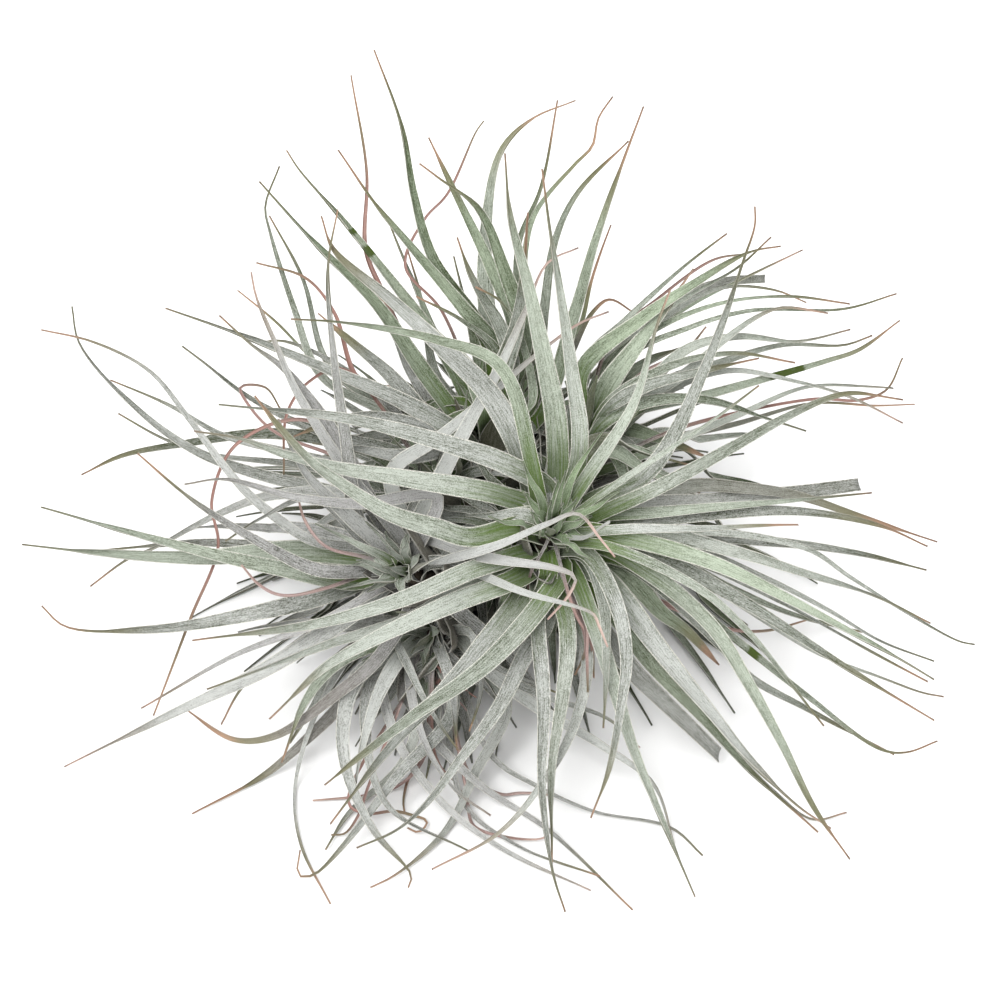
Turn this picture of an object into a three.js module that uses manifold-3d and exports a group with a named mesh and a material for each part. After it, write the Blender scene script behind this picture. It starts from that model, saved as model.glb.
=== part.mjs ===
// A clump of silver-leaved air plants, as it lies on a table: seven rosettes of long, narrow,
// tapering leaves that branch from one short woody base, with dead leaves hanging among them.
// Units are millimetres and degrees. +Z is up, +X runs along the clump's longest extent, and the
// origin is the centre of the flat spot under the base.
//
// The leaves are set out as a viewer sees them, who stands at -Y and looks down on the clump:
// a place is "right" and "up" on a plane through the clump that faces the viewer, and "near",
// its distance in front of that plane.
import * as THREE from "three";
import Module from "manifold-3d";

const wasm = await Module();
wasm.setup();

// The viewer and the plane.
const LOOK_DOWN = THREE.MathUtils.degToRad(50);
const VIEW_DISTANCE = 1500;
const PLANE_HEIGHT = 70;

// The leaves: their sizes, how they taper, lift off the stem, droop and twist, and how far they
// stay above the surface. A "share" is a share of the full width, thickness or length.
const BLADE_THICK = 1.15;
const DRY_THICK = 1.3;
const TIP_THICK_SHARE = 0.65;
const TIP_WIDTH = 0.9;
const CUT_WIDTH_SHARE = 0.72;
const ROOT_WIDTH_SHARE = 0.4;
const ROOT_LENGTH_SHARE = 0.12;
const TAPER_FULLNESS = 1.15;
const TAPER_POWER = 0.75;
const LENGTH_PER_SEEN = 1.3;
const LENGTH_SPARE = 15;
const LIFT_AT_ROOT = 0.55;
const DROOP_AT_TIP = 0.35;
const TWIST = THREE.MathUtils.degToRad(24);
const GOLDEN_TURN = THREE.MathUtils.degToRad(137.508);
const LISTED_TURN = 1.2;
const FREE_TURN = 0.3;
const FLOOR_CLEARANCE = 2;

// Young leaves open round the heart, each tilted further out and longer than the last. Filler
// leaves sag, and get shorter in steps where they would show past the clump's outline.
const YOUNG = { width: 3.5, tilt: 10, tiltStep: 4, length: [0.14, 0.28] };
const FILLER = { width: 5, sag: 0.3, step: 5, shortest: 0.5, firstTurn: 0.3, nextTurn: 0.618 };
const EARLY_BEND = 0.35;

// How many stretches a blade has: a leaf with many places listed, with few, or made by rule.
const LONG_RINGS = 8;
const SHORT_RINGS = 5;
const FREE_RINGS = 4;

// The base, its branches and the rosettes' stems. A profile gives a radius at each height, or
// at each share of a length. A stem starts a small gap above the branch that carries it.
const BASE_PROFILE = [[12, 0], [14, 4], [12.5, 12], [9, 19], [4, 23]];
const BASE_SIDES = 10;
const CROWN_HEIGHT = 15;
const BRANCH_LENGTH = 27;
const BRANCH_RADIUS = 4.2;
const BRANCH_PROFILE = [[0, 5], [1, BRANCH_RADIUS]];
const STEM_RADIUS = 7.5;
const STEM_PROFILE = [[0, BRANCH_RADIUS], [0.35, STEM_RADIUS], [0.75, 6], [0.95, 2.5]];
const STEM_SIDES = 7;
const JOINT_GAP = 0.3;
const YOUNGEST_ROOT = 4;
const ROOT_ZONE = 32;
const ROOT_OFFSET = 2.5;
const BASE_MARGIN = 2;
const STEM_MARGIN = 1;

const LEAF_COLOR = 0xa2a598;
const LEAF_ROUGHNESS = 0.8;
const BASE_COLOR = 0x6b5a48;
const BASE_ROUGHNESS = 0.9;

// Each line is one leaf: its kind, its width, how far it leans towards the viewer (1) or away
// (-1), and the places right,up that it passes, from its root to its tip. The kinds are g green,
// s silver, o olive, d dead and rolled, b dead and broad, c cut off square.
const FRONT = `
g 6.5 -0.10 18,3 18,25 15,42 9,68 3,90 1.5,111
s 5.0 0.12 24,8 25.5,22 23,40 20,60 16,85 13.5,106
s 7.0 0.00 8,12 -3,33 -20,50 -35,64 -53,80 -57,91
g 4.5 0.45 10,12 0,43 -20,51.5 -50,57 -67,58
s 4.0 0.20 25,3 41,28 50,55 55,67
s 5.0 -0.10 30,0 47,9 66,42 78,78 81,88 81,94
g 6.5 0.15 35,-3 55,6 75,17 92,27 105,33 113,34.5 129,32
s 2.0 0.30 30,0 55,17 70,27 83,36.5
s 6.0 0.30 16,2 3,11 -20,18.5 -50,26 -72,29 -90,31
s 6.0 0.22 14,-5 0,1.5 -30,6.5 -50,10 -68,15 -83,20 -98,22
s 6.0 0.42 6,-9 -10,-12 -20,-9 -35,-4 -50,5 -60,12 -70,22 -79,33
c 6.0 -0.62 35,-3 70,-0.5 95,2 115,5
b 4.5 -0.85 45,0 62,4.5 75,4 95,1.5 115,-5 140,-13.5
g 3.5 -0.25 28,-6 50,-4 80,-1.5 119,2.5
s 4.5 -0.40 35,-8 70,-4.5 98,-4 122,-8 137,-14.5
s 3.0 0.05 45,-9 70,-9 95.5,-8
s 4.5 -0.50 50,-10.5 90,-13.5 112,-17 136.5,-22.5
s 2.5 -0.70 60,-10 98,-16 112,-25 130,-36 147,-45 152,-46
s 4.5 -0.12 50,-11 75,-17 95,-23 120,-30.5 138,-39
s 2.5 -0.45 55,-14 85,-25 105,-35 122,-45 139,-51.5
g 5.0 0.10 25,-10 50,-14.5 70,-21 92,-31.5 112,-42 130,-52 139,-57.5
s 1.8 -0.05 28,-12 60,-19 90,-33 116,-47 137,-58
s 2.2 -0.60 55,-22 103,-49 120,-56 135,-62 142,-63.5
s 5.0 -0.22 28,-11 50,-18 80,-34 110,-53 139,-70.5
o 4.0 -0.85 50,-18 75,-29 95,-37 116,-42
s 3.0 0.22 35,-15 64,-29 80,-43 92,-57 104,-72
s 4.0 -0.45 40,-20 70,-45 80,-56 97,-66 112,-74.5 126,-82
s 3.0 -0.62 45,-22 75,-44 98,-62 122,-79.5 130,-80.5 140,-77
d 3.0 -0.85 55,-34 72,-41 85,-42 99,-38.5
g 5.0 0.10 30,-14 50,-25 68,-41 80,-60 90,-78 100,-98 112,-115
s 6.5 -0.20 33,-25 50,-46 65,-65 80,-84 95,-98 106,-105
o 5.0 -0.38 35,-35 48,-52 65,-70 80,-87 101.5,-106.5
s 1.8 -0.48 62,-66 88,-93 100,-102 111,-100
c 7.5 -0.36 42,-54 50,-62 60,-72 70,-82
o 7.0 -0.55 38,-22 52,-36 60,-42 70,-53
s 5.0 -0.05 22,-22 30,-40 36,-58 42,-77 50,-97 62.5,-127
s 4.5 0.18 26,-16 32,-22 38,-36 40,-50 38.5,-65 35,-87 29.5,-102
s 4.0 0.10 27,-18 33,-32 34,-52 33,-73
s 6.0 0.12 20,-22 14,-32 -5,-53 -28,-70 -56,-91.5
s 6.0 -0.08 10,-25 -6,-47 -22,-65 -32,-76 -54,-104
s 5.0 -0.14 15,-38 8,-50 0,-66 -12,-82 -24,-97 -33,-105 -46,-111
s 4.5 0.02 12,-40 14,-65 14,-95 17,-120 20.5,-132
o 5.0 -0.03 21,-38 20,-62 17,-88 16,-117
s 3.5 -0.10 26,-42 28,-52 24,-72 14,-90 0,-106 -22,-118
d 3.0 -0.20 27,-38 28,-50 28,-63
s 5.5 0.14 15,-15 -8,-22 -30,-31 -60,-40 -98.5,-45
s 5.0 0.05 14,-18 -12,-29 -28,-38 -55,-46 -94,-60
s 6.0 0.12 10,-22 -15,-33 -45,-47 -57,-54 -74,-70
`;
const LEFT = `
s 5.0 -0.10 -28,-15 -20,5 -10,24 0,42 8,60 15,76 25,81
s 4.5 -0.25 -35,8 -20,20 -3,34 10,45 25,56 35,60
s 3.0 0.85 -29,-23 0,-14.5 15,-8 25,-4.5 32,-12 37,-18
s 4.0 0.72 -25,-13 -5,-18 18,-22 24,-25 22,-30 15,-38
s 2.5 0.85 -12,-22.5 8,-30 30,-36 32,-40 34.5,-47
s 6.5 -0.50 -35,-20 -65,-16.5 -95,-18.5 -125,-17 -153,-14
g 5.0 -0.15 -35,-22 -46,-26.5 -70,-22 -100,-15 -125,-9 -147,-2.5
s 4.0 0.20 -35,-22 -58,-22.5 -78,-13 -98,0 -116,15
s 5.5 -0.30 -33,-23 -60,-32 -85,-37.5 -112,-41 -139,-40 -146.5,-33.5
o 4.0 -0.62 -45,0 -72,2 -90,-4 -110,-15 -119,-19 -131,-28
o 4.5 -0.80 -40,-18 -75,-15 -95,-13.5 -132,-16
s 5.5 -0.20 -32,-24 -48,-37 -75,-54 -100,-66 -139.5,-85.5
s 2.5 -0.05 -35,-27 -57,-39 -85,-49.5 -115,-66.5
s 1.8 -0.35 -45,-32 -65,-45 -82,-60 -89,-72
s 4.5 0.18 -36,-19 -45,-8 -49,18 -53.5,50 -55,75 -52,93
s 6.0 0.05 -25,-22 -38,-4 -46,5 -54,17 -66,36 -72,50 -78,65 -79.5,73
s 5.0 -0.10 -42,0 -52,20 -68,41 -80,50 -90,59
s 3.0 0.10 -36,-17 -60,-13 -72,-5 -82,4 -100,27 -112,41 -130,50 -147,54
s 3.0 0.25 -45,-12 -60,1 -78,-6 -88,-13
d 1.8 -0.30 -60,25 -84,18 -92,0 -90,-15 -99,-38 -111,-69
d 1.8 0.10 -42,-24 -55,-28 -70,-30 -77,-27 -83,-21
d 1.8 0.25 -45,-18 -56,-14 -63,-6 -65,0
b 4.0 -0.40 -40,-52 -52,-62 -72,-75 -85,-76 -101,-66
s 5.0 0.40 -34,-17 -52,-2 -63,10 -71,26
s 4.0 0.30 -20,1 -45,-1.5 -65,1 -88,7 -101,5
`;
const LOW = `
s 4.5 0.15 -20,-35 -5,-53 12,-66 32,-78 49,-91 55.5,-110
s 2.5 0.15 -15,-42 -2,-53 8,-58 20,-62.5
s 3.0 0.05 -6,-52 14,-63 35,-70 45,-79
s 3.0 0.30 -33,-42 -28,-57 -17,-74 -13,-80
s 3.0 -0.02 -37,-52 -34,-74 -20,-95 0,-111 29,-125
s 3.0 0.00 -33,-52 -26,-70 -8,-90 16,-106 42.5,-131
s 4.8 0.20 -45,-56 -50.5,-72 -49,-88 -40,-106 -28,-120 -29,-124
s 4.0 0.05 -40,-56 -43,-72 -36,-97 -10,-112
s 2.0 0.00 -45,-48 -57,-65 -66,-92 -64,-110 -54,-129
o 4.0 -0.05 2,-64 -8,-88 -18,-106 -34,-120 -41.5,-124
s 4.0 0.02 -15,-67 -33,-88 -50,-110 -60,-120 -64.5,-120 -64,-112
o 4.0 -0.10 -30,-82 -48,-100 -55.5,-112
s 3.5 0.25 -20,-45 -15,-60 -14,-80
s 3.0 0.32 -10,-42 -6,-58 -10,-74
o 5.0 -0.15 -22,-50 -20,-70 -24,-90
s 4.5 0.20 -30,-48 -38,-60 -44,-80 -47,-96
s 3.0 0.10 -28,-50 -26,-72 -15,-92 -3,-101
g 5.0 0.10 -38,-45 -52,-52 -62,-64 -70,-84
s 1.8 -0.05 -3,-81 11,-91 30,-100 55,-105 65,-113.5
s 2.2 -0.03 -12,-96 5,-110 32,-120.5
s 4.5 -0.12 -50,-50 -60,-66 -67,-78
b 4.5 -0.30 -40,-55 -60,-75 -75,-88 -98.5,-100.5
`;
const UPPER_LEFT = `
s 5.5 0.15 -8,15 -30,31 -53,41 -73,48.5 -90,55 -107,61.5
s 4.5 -0.05 -40,0 -60,4 -80,9 -98,16 -117,30 -134.5,50 -137,62
s 3.0 -0.20 -40,8 -70,16 -88,21 -105,30 -125,38
o 3.0 -0.45 -60,10 -95,15 -108,20 -122,28
o 4.5 -0.55 -40,15 -60,20 -78,21 -100,18 -121,14 -134,8
s 3.5 -0.15 -30,14 -57,22 -80,33 -95,44 -102,49
s 3.0 -0.35 -35,30 -57,46 -70,51 -77,50.5
d 1.8 -0.10 -55,15 -72,22 -80,30 -83,36 -75,36 -70,29
d 1.8 0.10 -50,42 -61,38 -68,28 -69,8
o 6.5 -0.30 -24,18 -42,20 -58,13
s 6.5 0.10 -22,20 -38,26 -52,25 -66,20
o 6.0 -0.60 -24,14 -45,10 -68,8 -84,10
s 6.0 0.45 -18,16 -30,14 -45,16 -60,18
s 6.0 0.00 -22,22 -34,38 -47,50 -58,60
`;
const TOP = `
s 4.5 -0.05 -3,48 -22,78 -28,98 -32,120 -40.5,144
s 5.0 0.05 0,46 -12,62 -28,80 -40,94 -52,112
o 5.0 -0.20 -15,42 -35,71 -50,90 -64,106 -68,112
s 5.5 0.10 -24,40 -40,63 -58,81 -77,102
s 3.5 -0.25 -40,30 -57,40 -66,62 -74,86 -75.5,94 -71,107
s 3.0 -0.45 -38,30 -55,44 -63,70 -74,91
d 3.0 -0.35 -20,36 -30,50 -38,67 -43,80 -42.5,105 -47.5,136
d 3.0 -0.10 -30,34 -45,38 -53,60 -62,71 -78,76
s 4.0 -0.55 -12,36 -20,50 -30,75 -36,91
s 4.0 -0.75 -14,30 -21,40 -25,65 -29,80
s 3.0 0.25 0,46 -12,57 -27,65
d 1.6 -0.65 -18,60 -30,75 -24,90 -17,98 -8,118 -5.5,121.5
s 5.0 0.10 5,52 -3,75 -15,100 -23,116
g 6.0 0.22 8,50 1,75 -7,93 -20,103 -26,107.5
s 5.5 -0.10 -1,45 -4,60 -4.5,80 0,111 10,122 24,128
o 3.0 -0.50 6,50 6,82 13,100 18.5,128
s 2.5 -0.35 6,60 10,90 24,107 30,113 32,122 36.5,129
s 3.5 -0.20 10,30 14,60 18,83 25,98 41,115
g 4.5 -0.02 12,25 24,60 30,82 38,105 46,126
o 2.5 -0.60 14,30 25,55 29,70 36,88
d 3.0 -0.30 14,34 22,45 30,60 35,64 43,60
s 3.0 0.35 10,30 7,50 0,63 -8,68
s 5.5 0.30 4,40 0,55 -9,72 -14,84
o 5.0 -0.80 -6,40 -10,60 -15,78
s 6.0 0.42 0,38 5,55 8,75 9,92
s 6.0 0.15 -8,38 -20,52 -30,60 -41,66
o 2.5 -0.50 -40,30 -60,45 -72,57 -84,67
`;
const RIGHT = `
s 2.5 -0.20 27,44 40,58 56,72 73,85
g 5.0 -0.05 26,41 45,58 62,69 80,79 90,81
d 1.8 -0.35 35,50 50,64 68,77 79,79
s 2.5 -0.40 32,41 60,62 78,71 97,80
s 3.0 -0.55 40,50 60,65 76,74 87,84
c 4.0 -0.60 35,46 50,60 70,69 85,70.5
s 3.0 -0.30 40,46 58,62 72,68 88,67 98,63
s 2.5 -0.12 36,44 50,55 70,63 92,65 112,62.5
s 2.0 0.00 40,45 60,55 80,60.5 110,61 127,66
s 4.0 0.10 36,28 55,38 70,50 82,58 90,61 105,59.5
s 4.0 0.02 38,30 48,38 60,48 76,52 95,51 112,55
s 3.5 -0.15 50,36 70,44 90,50 110,50 119,53
d 2.5 -0.05 45,40 59,48 66,55.5
g 3.5 -0.35 35,25 68,34 88,39.5 105,44.5 115,48 128,57.5
s 3.5 0.20 34,30 55,43 75,47 94.5,44
s 4.5 0.32 33,28 45,36 65,41 83,45
s 4.5 0.10 32,24 45,31 65,32 85,26 98,22
s 3.0 -0.50 40,12 75,27 98,36 118,36 126,35.5
b 2.5 -0.75 50,18 75,24 100,31 120,30.5 132.5,31
d 1.8 -0.65 60,24 100,32 115,31.5 124,35 129,45.5
s 2.5 -0.30 50,32 72,41 95,38 113,33 129,25
s 5.5 0.35 30,18 38,18.5 50,14 60,11
o 6.5 -0.40 36,22 50,20 66,14
o 6.5 -0.60 34,34 46,44 62,50
s 6.0 0.15 34,16 48,9 64,2
s 6.5 -0.05 34,36 44,50 54,62 62,74
`;

// A rosette's heart is the place right,up,near where its youngest leaves open. Its young leaves
// stand round the heart, and its filler leaves close the sides that the lists leave bare: they
// turn from one angle to another round the heart, anticlockwise from the right, and lean between
// two values.
const ROSETTES = [
  { name: "rosette_front", heart: [18, -7, 25], length: 150, traced: FRONT, young: 9,
    filler: { count: 8, length: 105, turn: [170, 395], lean: [-0.9, -0.55] } },
  { name: "rosette_left", heart: [-33, -21, 12], length: 140, traced: LEFT, young: 6,
    filler: { count: 11, length: 105, turn: [110, 300], lean: [-0.95, -0.45] } },
  { name: "rosette_low", heart: [-26, -42, -8], length: 105, traced: LOW, young: 4,
    filler: { count: 8, length: 70, turn: [170, 320], lean: [-0.5, 0.3] } },
  { name: "rosette_upper_left", heart: [-20, 12, -14], length: 130, traced: UPPER_LEFT, young: 5,
    filler: { count: 10, length: 100, turn: [75, 205], lean: [-0.95, -0.5] } },
  { name: "rosette_top", heart: [-2, 30, -24], length: 130, traced: TOP, young: 5,
    filler: { count: 13, length: 115, turn: [30, 160], lean: [-0.97, -0.65] } },
  { name: "rosette_right", heart: [30, 25, -15], length: 125, traced: RIGHT, young: 5,
    filler: { count: 12, length: 110, turn: [-40, 100], lean: [-0.95, -0.5] } },
  { name: "rosette_back", heart: [0, 4.5, -60], length: 90, traced: "", young: 5,
    filler: { count: 32, length: 84, turn: [-25, 205], lean: [-0.98, 0.15] } },
];
// Filler leaves end inside this oval round the plane's centre.
const SKYLINE = { right: 112, up: 68 };

// How the leaves are laid clear of one another, in rounds: a leaf's girth is how close it lets
// another come, and grows with its width.
const ROUNDS = 120;
const SMOOTH_ROUNDS = 70;
const GIRTH = 0.85;
const GIRTH_PER_WIDTH = 0.3;
const PAIR_REACH = new THREE.Vector3(6, 6, 22);
const MOST_MOVE = 3;
const SMOOTHING = 0.3;

const VIEWER = new THREE.Vector3(0, 0, 1);
const SKY = new THREE.Vector3(0, Math.cos(LOOK_DOWN), Math.sin(LOOK_DOWN));
const CROWN = SKY.clone().multiplyScalar(CROWN_HEIGHT - PLANE_HEIGHT);

const mix = (a, b, t) => a + (b - a) * t;
const fraction = (value) => value - Math.floor(value);

// The place in the clump's own frame of a place right,up,near.
function inFrame({ x: right, y: up, z: near }) {
  const shrink = 1 - near / VIEW_DISTANCE;
  return new THREE.Vector3(
    right * shrink,
    up * shrink * Math.sin(LOOK_DOWN) - near * Math.cos(LOOK_DOWN),
    PLANE_HEIGHT + up * shrink * Math.cos(LOOK_DOWN) + near * Math.sin(LOOK_DOWN),
  );
}

// The least "near" that keeps a place above the surface.
function floorNear(up, clearance) {
  return (clearance - PLANE_HEIGHT - up * Math.cos(LOOK_DOWN)) / Math.sin(LOOK_DOWN);
}

// A closed solid through rings of points. A ring of one point is a tip.
function loft(rings) {
  const corners = [];
  const faces = [];
  const starts = rings.map((ring) => {
    const start = corners.length / 3;
    ring.forEach((p) => corners.push(p.x, p.y, p.z));
    return start;
  });
  for (let r = 0; r + 1 < rings.length; r++) {
    const sides = Math.max(rings[r].length, rings[r + 1].length);
    for (let i = 0; i < sides; i++) {
      const j = (i + 1) % sides;
      const [a, b] = [starts[r] + i, starts[r] + j];
      if (rings[r + 1].length === 1) {
        faces.push(a, b, starts[r + 1]);
      } else {
        const [c, d] = [starts[r + 1] + i, starts[r + 1] + j];
        faces.push(a, b, d, a, d, c);
      }
    }
  }
  const cap = (start, count, flip) => {
    for (let i = 1; i + 1 < count; i++) {
      faces.push(start, start + (flip ? i + 1 : i), start + (flip ? i : i + 1));
    }
  };
  cap(starts[0], rings[0].length, true);
  cap(starts.at(-1), rings.at(-1).length, false);
  return solid(new Float32Array(corners), new Uint32Array(faces));
}

function solid(vertProperties, triVerts) {
  return new wasm.Manifold(new wasm.Mesh({ numProp: 3, vertProperties, triVerts }));
}

// A smooth line through points, cut into places at the given shares of its length.
function placesAlong(points, shares) {
  const curve = new THREE.CatmullRomCurve3(points, false, "centripetal");
  return shares.map((share) => curve.getPointAt(share));
}

// The shares of a leaf's length where its blade has a ring.
function ringShares(count) {
  return Array.from({ length: count + 1 }, (_, i) => i / count);
}

// A leaf is narrow where it leaves the stem, broad a little above, and runs out to a thin tip.
function widthAt(leaf, share) {
  const root = Math.min(1, mix(ROOT_WIDTH_SHARE, 1, share / ROOT_LENGTH_SHARE));
  if (leaf.kind === "c") return root * leaf.width * mix(1, CUT_WIDTH_SHARE, share);
  const taper = Math.min(1, TAPER_FULLNESS * (1 - share) ** TAPER_POWER);
  return TIP_WIDTH + root * (leaf.width - TIP_WIDTH) * taper;
}

// The "near" at a share of a leaf that lifts off along the stem, arches over and droops.
function nearAt(share, start, end, liftOff, landing) {
  const [s, s2, s3] = [share, share ** 2, share ** 3];
  return (2 * s3 - 3 * s2 + 1) * start + (s3 - 2 * s2 + s) * liftOff
    + (3 * s2 - 2 * s3) * end + (s3 - s2) * landing;
}

// One leaf of a list. Its length says how far it reaches along the hidden direction, "near".
function tracedLeaf(rosette, line) {
  const [kind, width, lean, ...pairs] = line.trim().split(/\s+/);
  const flat = pairs.map((pair) => {
    const [right, up] = pair.split(",").map(Number);
    return new THREE.Vector3(right, up, 0);
  });
  const seen = flat.at(-1).clone().setZ(rosette.heart.z).sub(rosette.heart);
  const length = Math.min(rosette.length, LENGTH_PER_SEEN * seen.length() + LENGTH_SPARE);
  const reach = Number(lean) * Math.sqrt(Math.max(0, length ** 2 - seen.lengthSq()));
  const direction = seen.setZ(reach).normalize();
  const lift = length * mix(direction.z, rosette.axis.z, LIFT_AT_ROOT);
  const landing = length * (direction.z - DROOP_AT_TIP);
  const shares = ringShares(flat.length > 4 ? LONG_RINGS : SHORT_RINGS);
  const grow = (root) => placesAlong([root.clone().setZ(0), ...flat], shares).map((place, i) =>
    place.setZ(nearAt(shares[i], root.z, rosette.heart.z + reach, lift, landing)));
  return { rosette, listed: true, kind, width: Number(width), direction, shares, grow };
}

// One leaf of a rule: it leaves the stem, bends towards a direction and sags under its weight.
function freeLeaf(rosette, kind, width, length, direction, sag) {
  const shares = ringShares(FREE_RINGS);
  const grow = (root) => shares.map((share) => {
    const heading = rosette.axis.clone().lerp(direction, Math.min(1, EARLY_BEND + share)).normalize();
    return root.clone().addScaledVector(heading, length * share)
      .addScaledVector(SKY, -sag * length * share ** 2);
  });
  return { rosette, kind, width, direction, shares, grow };
}

function fillerLeaves(rosette) {
  const { count, length, turn, lean } = rosette.filler;
  return Array.from({ length: count }, (_, i) => {
    const turned = mix(...turn, fraction(FILLER.firstTurn + i * FILLER.nextTurn));
    const angle = THREE.MathUtils.degToRad(turned);
    const near = mix(...lean, (i + 0.5) / count);
    const flat = Math.sqrt(1 - near ** 2);
    const direction = new THREE.Vector3(Math.cos(angle) * flat, Math.sin(angle) * flat, near);
    const tip = (size) => rosette.heart.clone().addScaledVector(direction, size)
      .addScaledVector(SKY, -FILLER.sag * size);
    let size = length;
    while (size > FILLER.shortest * length && outside(tip(size))) size -= FILLER.step;
    return freeLeaf(rosette, i % 4 === 3 ? "o" : "s", FILLER.width, size, direction, FILLER.sag);
  });
}

const outside = ({ x, y }) => (x / SKYLINE.right) ** 2 + (y / SKYLINE.up) ** 2 > 1;

function youngLeaves(rosette) {
  const side = new THREE.Vector3(1, 0, 0).cross(rosette.axis).normalize();
  return Array.from({ length: rosette.young }, (_, i) => {
    const tilt = THREE.MathUtils.degToRad(YOUNG.tilt + YOUNG.tiltStep * i);
    const direction = rosette.axis.clone().applyAxisAngle(side, tilt)
      .applyAxisAngle(rosette.axis, GOLDEN_TURN * i);
    const length = rosette.length * mix(...YOUNG.length, i / rosette.young);
    return freeLeaf(rosette, "g", YOUNG.width, length, direction, 0);
  });
}

// The leaves leave the stem one above another, the widest spread lowest, each a little off the
// stem's middle on its own side.
function growLeaves(rosette) {
  const lines = rosette.traced.trim().split("\n").filter(Boolean);
  const spread = (leaf) => leaf.direction.angleTo(rosette.axis);
  const leaves = [
    ...lines.map((line) => tracedLeaf(rosette, line)),
    ...fillerLeaves(rosette),
    ...youngLeaves(rosette),
  ].sort((a, b) => spread(a) - spread(b));
  const lowest = Math.min(ROOT_ZONE, rosette.stemLength - YOUNGEST_ROOT + 1);
  leaves.forEach((leaf, i) => {
    const side = leaf.direction.clone()
      .addScaledVector(rosette.axis, -leaf.direction.dot(rosette.axis)).normalize();
    const root = rosette.heart.clone()
      .addScaledVector(rosette.axis, -mix(YOUNGEST_ROOT, lowest, i / leaves.length))
      .addScaledVector(side, ROOT_OFFSET);
    leaf.places = leaf.grow(root);
    leaf.girths = leaf.shares.map((share) => GIRTH + GIRTH_PER_WIDTH * widthAt(leaf, share));
  });
  return leaves;
}

// The closest places of two straight stretches, as shares of each.
function closestShares(a, b, c, d) {
  const u = b.clone().sub(a);
  const v = d.clone().sub(c);
  const w = a.clone().sub(c);
  const [uu, uv, vv, uw, vw] = [u.dot(u), u.dot(v), v.dot(v), u.dot(w), v.dot(w)];
  const spread = uu * vv - uv * uv;
  const clamp = (value) => Math.min(1, Math.max(0, value));
  let s = spread > 1e-9 ? clamp((uv * vw - vv * uw) / spread) : 0.5;
  const t = clamp((uv * s + vw) / vv);
  s = clamp((uv * t - uw) / uu);
  return [s, t];
}

// The stretches, of two strands each, that may come too close.
function closeStretches(strands) {
  const stretches = strands.flatMap((strand) => strand.places.slice(1).map((end, i) => {
    const box = new THREE.Box3().setFromPoints([strand.places[i], end]);
    return { strand, i, box, reach: box.clone().expandByVector(PAIR_REACH) };
  }));
  const apart = (one, other) => one.strand === other.strand
    || (one.strand.fixed && other.strand.fixed)
    || (one.strand.fixed || other.strand.fixed) && one.strand.rosette === other.strand.rosette
    || !one.reach.intersectsBox(other.box);
  return stretches.flatMap((one, m) =>
    stretches.slice(m + 1).filter((other) => !apart(one, other)).map((other) => [one, other]));
}

// Leaves lie over one another without touching: wherever two come too close, they are bent
// apart, a listed leaf only towards the viewer or away, and the bend is spread along the leaf.
function layClear(strands) {
  const pairs = closeStretches(strands);
  for (const strand of strands) {
    strand.straight = strand.places.map((place) => place.clone());
    strand.bends = strand.places.map(() => new THREE.Vector3());
    strand.moves = strand.places.map(() => new THREE.Vector3());
  }
  for (let round = 0; round < ROUNDS; round++) {
    for (const [{ strand: p, i }, { strand: q, i: j }] of pairs) {
      const [s, t] = closestShares(p.places[i], p.places[i + 1], q.places[j], q.places[j + 1]);
      const apart = p.places[i].clone().lerp(p.places[i + 1], s)
        .sub(q.places[j].clone().lerp(q.places[j + 1], t));
      const reach = mix(p.girths[i], p.girths[i + 1], s) + mix(q.girths[j], q.girths[j + 1], t);
      if (apart.length() >= reach) continue;
      const flat = Math.hypot(apart.x, apart.y);
      const rise = Math.sqrt(reach ** 2 - flat ** 2) - Math.abs(apart.z);
      const near = new THREE.Vector3(0, 0, rise * (apart.z < 0 ? -1 : 1));
      const straight = apart.clone().setLength(reach - apart.length());
      const moveOf = (strand) => (strand.listed ? near : straight);
      p.moves[i].addScaledVector(moveOf(p), 0.5 * (1 - s));
      p.moves[i + 1].addScaledVector(moveOf(p), 0.5 * s);
      q.moves[j].addScaledVector(moveOf(q), -0.5 * (1 - t));
      q.moves[j + 1].addScaledVector(moveOf(q), -0.5 * t);
    }
    strands.filter((strand) => !strand.fixed).forEach((strand) => bend(strand, round));
  }
}

// One round's move of a leaf, free at its tip and held at its root, and never into the floor.
function bend(strand, round) {
  strand.bends.forEach((bent, i) => {
    bent.addScaledVector(strand.moves[i].clampLength(0, MOST_MOVE), Math.min(1, i / 2));
    strand.moves[i].set(0, 0, 0);
  });
  if (round < SMOOTH_ROUNDS) {
    const last = strand.bends.map((bent) => bent.clone());
    strand.bends.forEach((bent, i) => {
      if (i === 0) return;
      bent.lerp(last[i - 1].clone().lerp(last[i + 1] ?? last[i], 0.5), SMOOTHING);
    });
  }
  strand.places.forEach((place, i) => {
    place.copy(strand.straight[i]).add(strand.bends[i]);
    place.z = Math.max(place.z, floorNear(place.y, FLOOR_CLEARANCE));
  });
}

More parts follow.
